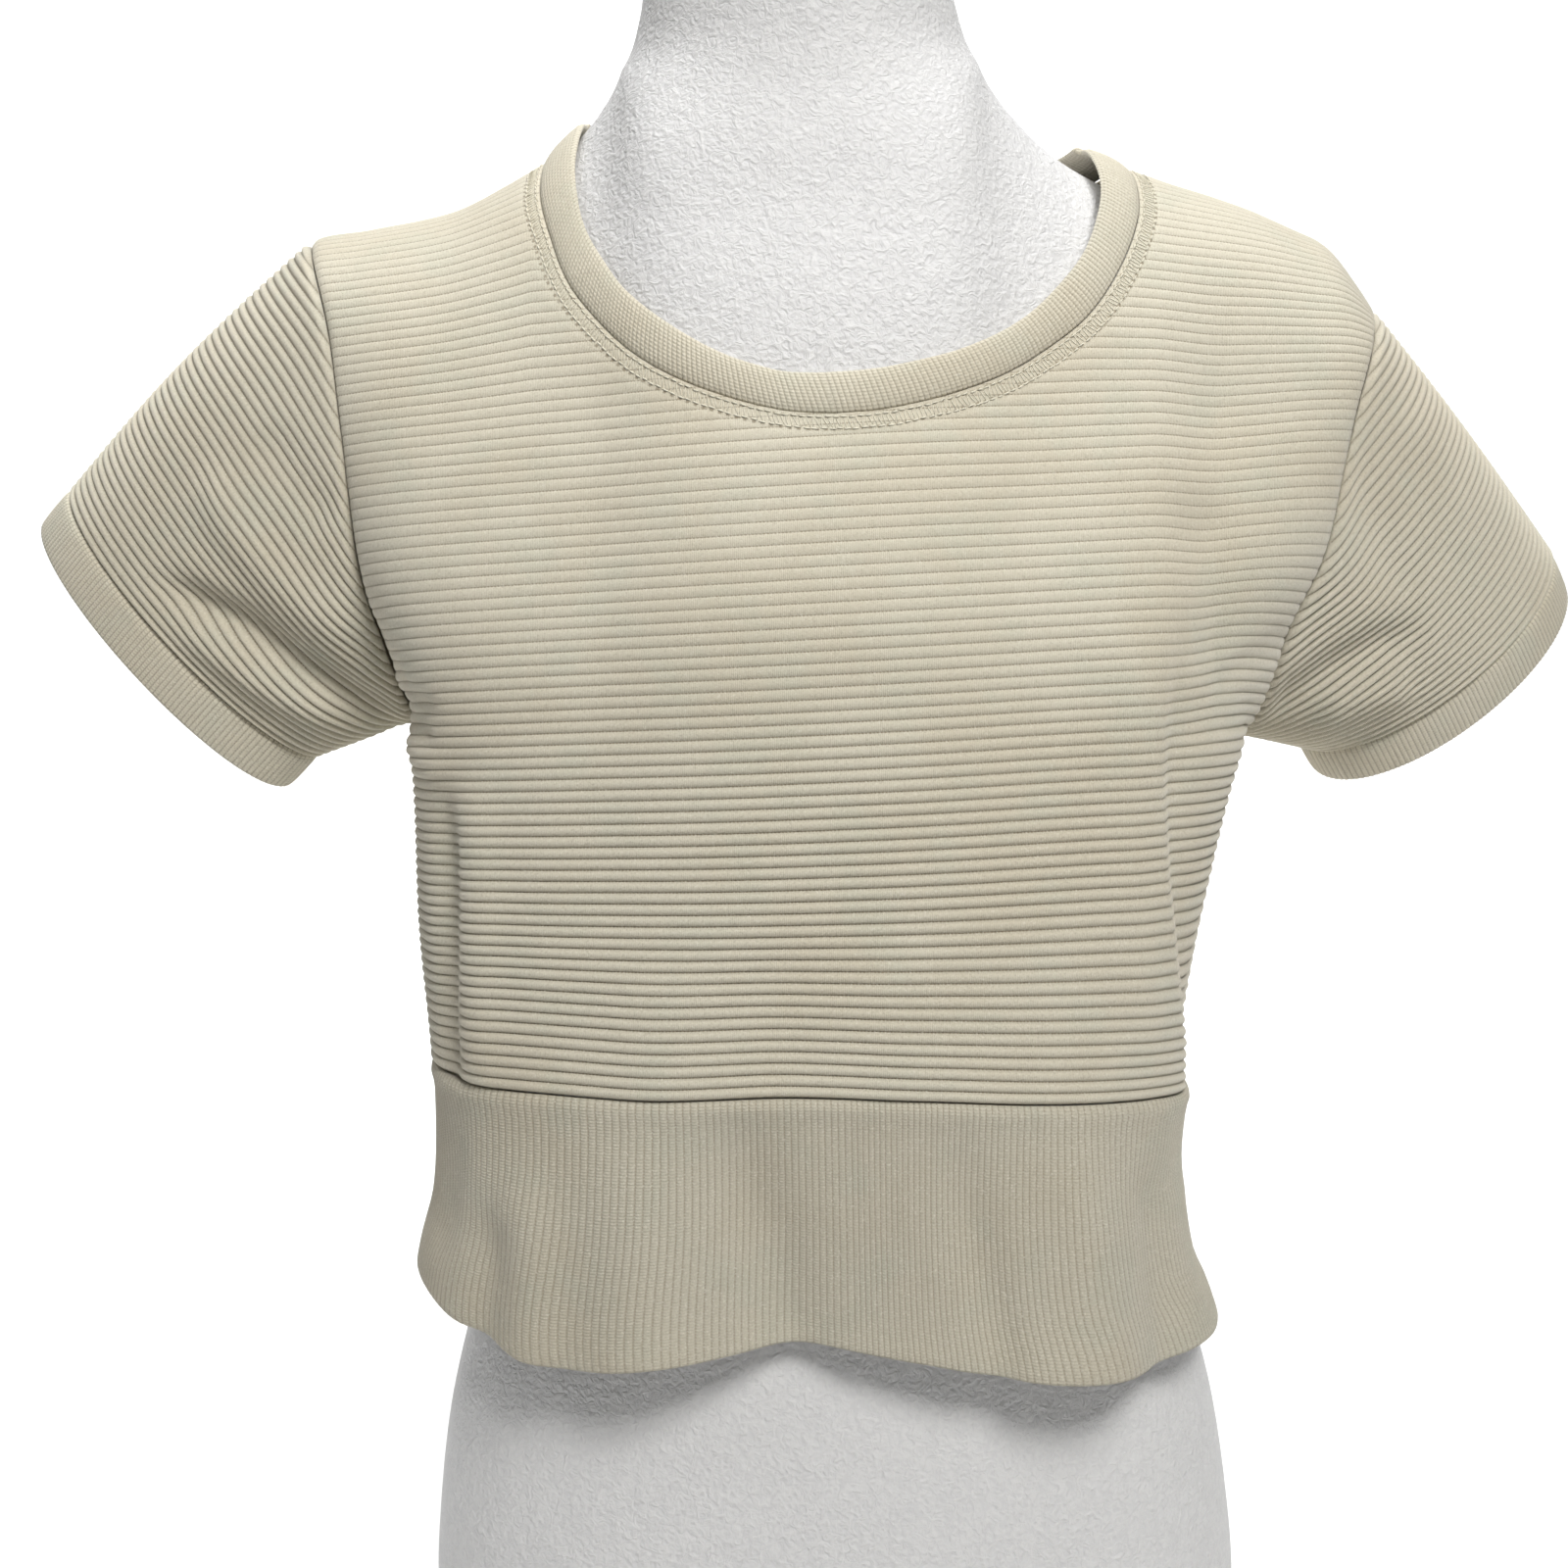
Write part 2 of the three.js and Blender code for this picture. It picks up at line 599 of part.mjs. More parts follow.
// A cuff: a doubled band around the sleeve's end.
function cuff(side) {
  const outward = vector(SLEEVES[side].outward);
  const sections = everyPlace(0, 31).map((k) => {
    const u = k / 32;
    const tangent = vector(cuffEdge(side, u + 0.01, 0)).sub(vector(cuffEdge(side, u - 0.01, 0)));
    const n = tangent.cross(outward).normalize();
    if (n.dot(vector(cuffEdge(side, u, 0)).sub(vector(SLEEVES[side].centre))) < 0) n.negate();
    const at = (out, lift) => along(cuffEdge(side, u, out), n, lift);
    return [
      at(SEAM_GAP, 0.1), at(CUFF_DEPTH - 0.8, 0.1), at(CUFF_DEPTH, 1.2),
      at(CUFF_DEPTH - 0.8, BAND_WALL + 0.1), at(CUFF_DEPTH / 2, BAND_WALL + 0.5), at(SEAM_GAP, BAND_WALL),
    ];
  });
  return ring(sections);
}

// One quarter of a neck loop, even in its steps, from its middle up to the shoulder.
function neckQuarter(table, side, back, steps) {
  const points = [];
  let top = table[0].z;
  while (top < table.at(-1).z && ridge(curve(table, "z", side, top)) > top) top += 0.1;
  for (let k = 0; k <= 240; k += 1) {
    const z = table[0].z + (top - table[0].z) * (k / 240) ** 2;
    points.push(onBody(curve(table, "z", side, z), z, back));
  }
  const run = [0];
  for (let k = 1; k < points.length; k += 1) {
    run.push(run[k - 1] + vector(points[k]).distanceTo(vector(points[k - 1])));
  }
  return everyPlace(0, steps).map((s) => {
    const at = (run.at(-1) * s) / steps;
    const k = Math.min(run.length - 2, Math.max(0, run.findIndex((value) => value > at) - 1));
    const t = Math.min(1, (at - run[k]) / (run[k + 1] - run[k]));
    return s === steps ? points.at(-1) : between(points[k], points[k + 1], t);
  });
}
function neckLoop(front, back) {
  const quarter = (table, side, isBack) => neckQuarter(table, side, isBack, isBack ? 11 : 14);
  return [
    ...quarter(front, "right", false).slice(0, -1).map((p) => ({ p, back: false })),
    ...quarter(back, "right", true).slice(1).reverse().map((p) => ({ p, back: true })),
    ...quarter(back, "left", true).slice(0, -1).map((p) => ({ p, back: true })),
    ...quarter(front, "left", false).slice(1).reverse().map((p) => ({ p, back: false })),
  ];
}

// The neckband: a doubled band from the neck seam to the neck's opening.
function neckband() {
  const seam = neckLoop(NECK_FRONT, NECK_BACK);
  const opening = neckLoop(OPENING_FRONT, OPENING_BACK);
  const sections = seam.map(({ p, back }, k) => {
    const q = opening[k].p;
    const wide = vector(p).distanceTo(vector(q));
    const apart = (back ? 1.5 : 0.8) + 1.8 * smooth(1 - Math.abs(p[1]) / 20);
    const edge = between(p, q, apart / wide);
    const fold = between(p, q, 1 - 0.8 / wide);
    const middle = between(p, q, 0.5);
    const n = outOf(p[0], p[2], back);
    const m = outOf(q[0], q[2], opening[k].back);
    const half = n.clone().add(m).normalize();
    return [
      edge, along(middle, half, 0.4), along(fold, m, 0.2), along(q, m, 1.2),
      along(fold, m, BAND_WALL + 0.1), along(middle, half, BAND_WALL + 0.6), along(edge, n, BAND_WALL),
    ];
  });
  return ring(sections);
}

// The form's surface at a place of the front or back view.
const formRidge = (x) => curve(FORM_RIDGE, "x", "z", Math.abs(x));
function onForm(x, z, back) {
  const deep = curve(FORM, "z", back ? "back" : "front", z);
  const n = curve(FORM, "z", "square", z);
  const share = Math.min(1, Math.abs(x) / curve(FORM, "z", "half", z));
  const wall = deep * (1 - share ** n) ** (1 / n);
  const over = Math.sqrt(2 * FORM_ROUND * Math.max(0, formRidge(x) - z));
  return [x, (back ? 1 : -1) * softLeast(wall, over), z];
}

// The dress form: rings from a flat base up to the neck's flat cap.
function dressForm() {
  const heights = [0, 45, 90, 135, 175, 215, 255, 300, 340, 380, 420, 460, 500, 530, 550];
  heights.push(562, 571, 578, 584, 590, 597, 605, 613, 622, 632, 645, 660, 676);
  const wall = new Wall();
  const rings = heights.map((z) => {
    let half = curve(FORM, "z", "half", z);
    while (formRidge(half) < z) half -= 0.05;
    return everyPlace(0, 31).map((k) => {
      const angle = (k / 32) * 2 * Math.PI;
      return wall.put(onForm(half * Math.sin(angle), z, Math.cos(angle) < 0));
    });
  });
  const closed = rings.map((row) => [...row, row[0]]);
  wall.sheet(closed, false);
  const base = wall.put([0, 0, 0]);
  const cap = wall.put([0, 0, heights.at(-1)]);
  for (let k = 0; k < 32; k += 1) {
    wall.faces.push([closed[0][k + 1], closed[0][k], base]);
    wall.faces.push([closed.at(-1)[k], closed.at(-1)[k + 1], cap]);
  }
  return wall;
}

const CLOTH = 0xb7b09c;
const part = new THREE.Group();
part.name = "crop_top";
part.add(
  bodyPanel(false).mesh("front", CLOTH, 0.9),
  bodyPanel(true).mesh("back", CLOTH, 0.9),
  sleeve("left").mesh("sleeve_left", CLOTH, 0.9),
  sleeve("right").mesh("sleeve_right", CLOTH, 0.9),
  cuff("left").mesh("cuff_left", CLOTH, 0.9),
  cuff("right").mesh("cuff_right", CLOTH, 0.9),
  neckband().mesh("neckband", CLOTH, 0.9),
  waistband(false).mesh("waistband_front", CLOTH, 0.9),
  waistband(true).mesh("waistband_back", CLOTH, 0.9),
  dressForm().mesh("dress_form", 0xf2f1ee, 0.8),
);
export default part;
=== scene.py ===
# %% [markdown]
# # A crop top on a dress form
#
# The garment is a short crop top of ottoman knit: a double knit whose rounded cross ribs, called welts,
# run round the body and round each sleeve. A fine one-by-one rib makes the neckband, the cuffs
# and the deep waistband.
# It is worn by a limbless white dress form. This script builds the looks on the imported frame, piece by piece.
# All lengths are in millimetres in the frame's own axes, and only the finished meshes are turned into metres.

# %% Load the frame
import math

import bpy
import numpy as np
from mathutils import Matrix, Vector


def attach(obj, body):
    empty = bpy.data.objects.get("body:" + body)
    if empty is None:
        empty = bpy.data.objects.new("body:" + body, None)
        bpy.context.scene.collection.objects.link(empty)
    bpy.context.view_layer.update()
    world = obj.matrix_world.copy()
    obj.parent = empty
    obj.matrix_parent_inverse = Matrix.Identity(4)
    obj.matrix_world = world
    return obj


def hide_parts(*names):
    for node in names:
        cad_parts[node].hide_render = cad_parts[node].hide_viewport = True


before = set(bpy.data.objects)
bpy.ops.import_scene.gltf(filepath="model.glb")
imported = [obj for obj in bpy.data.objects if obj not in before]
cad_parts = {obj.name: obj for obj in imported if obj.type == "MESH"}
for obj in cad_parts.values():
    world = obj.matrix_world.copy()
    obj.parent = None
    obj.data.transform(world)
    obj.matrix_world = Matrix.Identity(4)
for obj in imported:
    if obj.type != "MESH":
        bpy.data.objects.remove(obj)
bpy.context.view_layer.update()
print("nodes:", sorted(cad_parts))

# %% [markdown]
# ## Named sizes
#
# A pattern maker would note the same few numbers: the rib's pitch and rise, the wall of the cloth,
# and the seam's gap.
# The tables that follow say where the worn cloth lies at a height or at a distance from the middle,
# so one smooth curve goes through each column.

# %% Named sizes
WALL = 1.6
RIB_RISE = 1.0
RIB_PITCH = 4.0
SLEEVE_PITCH = 3.6
BAND_WALL = 2.2
SEAM_GAP = 0.3
SHOULDER_ROUND = 34
FORM_ROUND = 29
MIDDLE = 8
CUFF_DEPTH = 19
FINE_PITCH = 2.05        # from one fine rib of the bands to the next
FINE_RISE = 0.42
WELT = np.array([0, 0.08, 0.26, 0.5, 0.74, 0.92])  # rows of points across one welt


def table(names, *rows):
    """Columns of a table by name."""
    return dict(zip(names.split(), np.array(rows, float).T))


BODY = table(
    "at left right front back square",
    (150, 146, 152, 110, 101, 2.8), (174, 156, 145, 110, 101, 2.8), (190, 156.5, 138.5, 109, 100, 2.9),
    (222, 149, 134.5, 110, 99, 3.0), (250, 146.5, 136, 111, 98, 3.0), (276, 146.5, 138.5, 113, 98, 3.0),
    (323, 149.5, 146, 117, 99, 2.9), (369, 150, 156.5, 120, 101, 2.8), (395, 151.5, 165.5, 121, 103, 2.8),
    (427, 158, 174, 121, 105, 2.8), (452, 164, 185.5, 117, 106, 2.7), (485, 167, 193, 108, 106, 2.6),
    (508, 169, 199, 99, 104, 2.6), (545, 174, 213, 88, 97, 2.5), (580, 186, 222, 78, 88, 2.5),
    (625, 205, 232, 66, 76, 2.4), (665, 205, 232, 56, 62, 2.2),
)
RIDGE = table(
    "at left right",
    (0, 800, 800), (20, 780, 780), (40, 728, 728), (58, 670, 670), (68, 642, 642), (75, 628.6, 628.6),
    (82, 620.6, 620.6), (88, 615, 615.4), (98, 606.5, 611), (112, 598.4, 604.6), (132, 589.4, 595.8),
    (164, 583.5, 584.6), (184, 580.5, 575.5), (196, 572, 569), (206, 565, 556), (214, 558, 543),
    (224, 548, 527),
)
ARMHOLE = table(
    "at open", (0, 0), (4, 14), (12, 25), (28, 38), (50, 48), (75, 54), (110, 56), (230, 56),
)
UNDERARM = {"left": 401, "right": 388}
NECK_FRONT = table(
    "at left right",
    (502, 7, 9), (502.5, -2.5, 19), (504, -12, 30), (508, -26, 47), (515, -43, 66), (524, -58, 82),
    (536, -71, 98), (553, -84, 111), (574, -92, 121), (589, -96, 123.5), (600, -96.5, 122.5),
    (613, -95.5, 120),
)
NECK_BACK = table(
    "at left right",
    (586, 11, 13), (587, -8, 34), (590, -36, 66), (595, -60, 94), (601, -80, 119), (607, -91, 124),
    (613, -95.5, 125),
)
OPENING_FRONT = table(
    "at left right",
    (516.5, 2, 5), (516.9, -6, 15), (518.2, -13, 27), (524, -29, 51), (535, -47, 73.5),
    (548, -62, 88.5), (560, -70.5, 98.5), (574, -78, 105), (588, -81.3, 108.5), (602, -82.5, 107.5),
    (624, -80.5, 100),
)
OPENING_BACK = table(
    "at left right",
    (600, 6, 12), (601, -10, 34), (604, -34, 72), (609, -56, 104), (614, -70, 110), (624, -80.5, 112),
)
WAIST = table(
    "at seam hem hemBack",
    (-165, 274, 194, 190), (-150, 273.5, 191, 188), (-132, 271.5, 182, 181), (-97, 271, 174, 176),
    (-60, 269.6, 176.5, 175), (-12, 270.2, 180.6, 174), (30, 268, 175, 172), (66, 264.8, 168.5, 169),
    (115, 260.5, 163.5, 164), (137, 256, 164, 163), (160, 252, 161, 161),
)
FLUTES = table("at out", (-165, 0), (-110, -2), (-62, 5), (-16, -5), (35, 0), (84, 8), (125, -3), (165, 0))
LEAN = table(
    "at slope",
    (270, 0), (304, -0.01), (329, 0), (358, 0.013), (382, 0.02), (410, 0.025), (440, 0.03), (490, 0.034),
    (560, 0.03), (640, 0.02),
)
FORM = table(
    "at half front back square",
    (0, 154, 88, 96, 2.4), (50, 157, 90, 99, 2.4), (80, 156, 91, 99, 2.4), (130, 149.5, 92, 94, 2.4),
    (175, 138, 90, 86, 2.4), (235, 122, 86, 78, 2.4), (300, 131, 92, 84, 2.4), (360, 141, 101, 90, 2.4),
    (400, 146, 104, 93, 2.4), (450, 154, 101, 94, 2.4), (500, 164, 91, 92, 2.4), (545, 176, 80, 82, 2.4),
    (580, 182, 69, 68, 2.4), (600, 140, 64, 59, 2.3), (615, 104, 60, 56, 2.2), (627, 84, 57, 53, 2.1),
    (642, 67.5, 55, 52, 2), (662, 60, 54, 52, 2), (680, 58, 53, 52, 2),
)
FORM_RIDGE = table(
    "at z",
    (0, 860), (30, 800), (50, 725), (59, 680), (64, 656), (68, 640), (75, 627.8), (82, 619.2), (88, 612.8),
    (98, 604.4), (112, 596), (132, 586.6), (164, 579.6), (174, 575), (182, 566), (188, 548),
)
SLEEVES = {
    "left": {
        "centre": (-242.5, 12.5, 439), "top": (-46.5, 2.5, 49.5), "front": (3.5, -29, -16.5),
        "outward": (-0.7, 0.24, -0.67), "under": 40, "over": 138, "bulge": 4, "behind": 1,
    },
    "right": {
        "centre": (248, 38, 418), "top": (48.5, 8, 38), "front": (14.5, -25.5, -12),
        "outward": (0.48, 0.5, -0.72), "under": 38, "over": 138, "bulge": 1.5, "behind": 3.3,
    },
}
print("welts from waist to shoulder:", round((600 - 270) / RIB_PITCH))

# %% [markdown]
# ## The worn shape
#
# Worn cloth takes its form from what carries it and from its own cut. A cloth simulation could drape it,
# but its folds fall where they like, and this shape is known. So the body is a family of level sections,
# each a rounded oblong with its own width and depth. Over the shoulders it rolls back on a round
# of fixed radius. These are the same rules that the solids follow, written for many points at once.


# %% The worn shape
def smooth(t):
    s = np.clip(t, 0, 1)
    return s * s * (3 - 2 * s)


def curve(rows, column, at):
    """Smooth curve through a table's column."""
    key, value = rows["at"], rows[column]
    last = len(key) - 1
    x = np.clip(at, key[0], key[-1])
    k = np.clip(np.searchsorted(key, x, side="left") - 1, 0, last - 1)
    before, after = np.maximum(np.arange(last + 1) - 1, 0), np.minimum(np.arange(last + 1) + 1, last)
    slope = (value[after] - value[before]) / (key[after] - key[before])
    width = key[k + 1] - key[k]
    t = (x - key[k]) / width
    u = 1 - t
    bend = t * u * u * width * slope[k] - t * t * u * width * slope[k + 1]
    return (1 + 2 * t) * u * u * value[k] + t * t * (3 - 2 * t) * value[k + 1] + bend


def sided(rows, at, x):
    """The left column where x is left of the middle, otherwise the right one."""
    return np.where(np.asarray(x) < 0, curve(rows, "left", at), curve(rows, "right", at))


def ridge(x):
    return sided(RIDGE, np.abs(x), x)


def soft_least(a, b):
    """The lesser of two distances, with a soft change between them."""
    small = (a < 0.01) | (b < 0.01)
    safe_a, safe_b = np.where(small, 1, a), np.where(small, 1, b)
    return np.where(small, np.minimum(a, b), (safe_a ** -5.0 + safe_b ** -5.0) ** -0.2)


def reach(x, z, back):
    """Distance of the cloth's inside from the middle plane, at a place of the front view."""
    x, z = np.broadcast_arrays(np.asarray(x, float), np.asarray(z, float))
    deep = curve(BODY, "back" if back else "front", z)
    n = curve(BODY, "square", z)
    underarm = np.where(x < 0, UNDERARM["left"], UNDERARM["right"])
    opened = curve(ARMHOLE, "open", z - underarm)
    share = np.minimum(1, np.abs(x) / sided(BODY, z, x))
    wall = deep * np.maximum(0, 1 - (1 - (opened / deep) ** n) * share ** n) ** (1 / n)
    over = np.sqrt(2 * SHOULDER_ROUND * np.maximum(0, ridge(x) - z))
    flute = 0 if back else curve(FLUTES, "out", x) * np.maximum(0, (290 - z) / 110) ** 1.5
    return soft_least(wall, over) + flute * (1 - share ** 4)


def on_body(x, z, back):
    """Points on the cloth's inside."""
    return np.stack([x, (1 if back else -1) * reach(x, z, back), z], -1)


def unit(v):
    return v / np.maximum(np.linalg.norm(v, axis=-1, keepdims=True), 1e-9)


def out_of(x, z, back):
    """Directions out of the cloth at places of the front or back view."""
    side, step = np.where(x < 8, -1, 1), 0.6
    here = reach(x, z, back)
    slope_x = (here - reach(x - side * step, z, back)) / step * side
    slope_z = (here - reach(x, z - step, back)) / step
    return unit(np.stack([-slope_x, (1 if back else -1) * (here >= 0.5), -slope_z], -1))


ROUND_RUN = (math.pi / 2 - 1) * SHOULDER_ROUND


def unrolled(x, level):
    """A welt's height before the cloth rolls over the shoulder."""
    seam = (curve(WAIST, "seam", x) - 270) * (1 - smooth((level - 270) / 70))
    drop = np.where(np.abs(x) > 98, np.maximum(0, ridge(np.sign(x) * 98) - ridge(x)), 0)
    return level + seam + curve(LEAN, "slope", level) * x - 0.62 * smooth((level - 480) / 150) * drop


def height_at(x, level):
    """A welt's height at x."""
    left = ridge(x) + ROUND_RUN - unrolled(x, level)
    rolled = ridge(x) - SHOULDER_ROUND * (1 - np.cos(np.clip(left, 0, 1e3) / SHOULDER_ROUND))
    return np.where(left >= SHOULDER_ROUND * math.pi / 2, unrolled(x, level), rolled)


def last_where(test, start, stop):
    """Last places outward from the start where a test still holds."""
    steps = np.linspace(0, 1, 61)[1:, None]
    holds = np.logical_and.accumulate(test(start + (stop - start) * steps), 0).sum(0)
    inside = start + (stop - start) * holds / 60
    outside = start + (stop - start) * np.minimum(holds + 1, 60) / 60
    for _ in range(24):
        x = (inside + outside) / 2
        good = test(x)
        inside, outside = np.where(good, x, inside), np.where(good, outside, x)
    return inside


def welt_ends(sign, levels):
    """Outer ends of the welts on one side: at the side seam, the armhole or the shoulder seam."""

    def on_cloth(x):
        z = height_at(x, levels)
        within = np.abs(x) <= curve(BODY, "left" if sign < 0 else "right", z)
        return within & (ridge(x) + ROUND_RUN >= unrolled(x, levels))

    return last_where(on_cloth, np.full(len(levels), MIDDLE + sign * 1.0), np.full(len(levels), sign * 235.0))


def welt_starts(sign, levels, back):
    """Inner ends of the welts on one side: at the neck seam, or in the middle below the neck."""
    neck = NECK_BACK if back else NECK_FRONT

    def in_hole(x):
        z = height_at(x, levels)
        edge = curve(neck, "left" if sign < 0 else "right", z)
        return (z >= neck["at"][0]) & (sign * x < sign * edge)

    first = np.full(len(levels), MIDDLE + sign * 0.1)
    found = last_where(in_hole, first, np.full(len(levels), sign * 150.0))
    return np.where(in_hole(first), found, MIDDLE)


def spread(f, level):
    """Columns of a welt stand even round the body."""
    angle = f * math.pi / 2
    r = (np.sin(angle) ** 3 + (np.cos(angle) / 0.75) ** 3) ** (-1 / 3)
    even = np.minimum(1, r * np.sin(angle) / (1 + 0.028 * np.sin(math.pi * f)))
    return even + (f - even) * smooth((level - 385) / 60)


print("depth of the front at the chest, mm:", round(float(reach(8, 427, False)), 1))

# %% [markdown]
# ## Folds
#
# Knit of this weight folds softly. The side of the body turns in behind a long crease, the cloth under each arm
# is pushed together, and a hollow lies below the front of the right shoulder. They could be sculpted by hand,
# but a short table is easier to read and to move. Each fold is a line of places in the front view,
# with its depth in or out and its width, and it fades toward both ends.


# %% Folds
def line_reach(points, line):
    """Distance of points from a line of places, and how far along the line each lies, from 0 to 1."""
    line = np.array(line, float)
    best = np.full(points.shape[:-1], 1e9)
    share = np.zeros(points.shape[:-1])
    runs = np.linalg.norm(np.diff(line, axis=0), axis=1)
    for k, run in enumerate(runs):
        step = (line[k + 1] - line[k]) / run
        t = np.clip((points - line[k]) @ step, 0, run)
        far = np.linalg.norm(points - line[k] - t[..., None] * step, axis=-1)
        share = np.where(far < best, (runs[:k].sum() + t) / runs.sum(), share)
        best = np.minimum(best, far)
    return best, share


def folded(points, folds):
    """Sum of the folds at places of the front view: positive stands out, negative is a trough."""
    total = np.zeros(points.shape[:-1])
    for height, width, line in folds:
        far, share = line_reach(points, line)
        fade = smooth(share / 0.25) * smooth((1 - share) / 0.25)
        total += height * np.exp(-((far / width) ** 2)) * fade
    return total


def ledged(points, ledges):
    """Sum of the ledges: past its line the cloth steps back at once, then comes forward again slowly."""
    total = np.zeros(points.shape[:-1])
    for height, width, run, side, line in ledges:
        places = np.array(line, float)
        at = np.interp(points[..., 1], places[::-1, 1], places[::-1, 0])
        past = (points[..., 0] - at) * side
        _, share = line_reach(points, line)
        fade = smooth(share / 0.35) * smooth((1 - share) / 0.15)
        total += height * smooth(past / width) * np.exp(-np.maximum(0, past - width) / run) * fade
    return total


def deepened(fold):
    """The deepest dip nearby, so that the plain inside never comes through the outside."""
    low = np.minimum(fold, 0)
    for axis, far in ((0, 7), (1, 4)):
        low = np.min([np.roll(low, k, axis) for k in range(-far, far + 1)], axis=0)
    return low


FRONT_FOLDS = [
    (-5.5, 4.5, [(-130, 385), (-131, 350), (-132, 320), (-134, 292), (-133, 255)]),
    (2.4, 7, [(-120, 390), (-119, 340), (-121, 300), (-121, 262)]),
    (1.6, 8, [(106, 450), (105, 400), (106, 360), (109, 320), (114, 285), (117, 255)]),
    (-3.0, 12, [(134, 480), (140, 450), (146, 424), (150, 404)]),
    (-4.0, 5, [(-166, 442), (-158, 424), (-146, 409), (-130, 400)]),
    (2.6, 5, [(-163, 430), (-152, 412), (-140, 400)]),
    (-3.4, 4.5, [(-158, 414), (-148, 402), (-134, 390)]),
    (2.0, 6, [(-150, 396), (-140, 386), (-128, 380)]),
    (-1.8, 5, [(176, 430), (164, 417), (152, 408), (140, 403)]),
    (-1.2, 16, [(-24, 330), (-20, 300), (-18, 262)]),
    (1.2, 15, [(-58, 320), (-60, 290), (-60, 262)]),
    (1.0, 18, [(20, 325), (24, 300), (30, 258)]),
]
BACK_FOLDS = [
    (-3.0, 7, [(-126, 380), (-124, 340), (-128, 300), (-130, 262)]),
    (-2.6, 7, [(124, 420), (122, 380), (124, 330), (128, 262)]),
    (-3.0, 10, [(-120, 470), (-60, 452), (8, 446), (70, 450), (126, 462)]),
    (-2.2, 9, [(-100, 438), (-40, 424), (20, 420), (90, 430)]),
    (2.0, 9, [(-110, 455), (-50, 438), (10, 433), (80, 440), (116, 448)]),
    (-2.0, 14, [(-40, 330), (-44, 300), (-46, 262)]),
    (-1.6, 12, [(58, 340), (60, 300), (60, 262)]),
    (-2.0, 6, [(-165, 440), (-150, 418), (-136, 404)]),
    (-2.0, 6, [(178, 436), (162, 414), (146, 400)]),
]
FRONT_LEDGES = [
    (-6.5, 8, 24, 1, [
        (122, 450), (119, 420), (117, 395), (117, 372), (119, 338), (124, 301), (128, 277), (130, 225),
    ]),
    (-7.0, 30, 50, 1, [(124, 570), (118, 510), (115, 460), (116, 420), (118, 385), (120, 370)]),
]
print("folds on the front and back:", len(FRONT_FOLDS), len(BACK_FOLDS))

# %% [markdown]
# ## A shell of cloth
#
# Each piece is one closed shell: rows of points outside, a plainer sheet inside, and a rim that joins them.
# A modifier could thicken one sheet, but then the inside would carry every welt too, at twice the faces.
# A welt is a rounded roll of cloth between two narrow valleys, so its height rises fast and stays full.
# Each point also keeps where it lies in the cloth, along the welt and across it,
# and on the body how far it is from the neck seam.


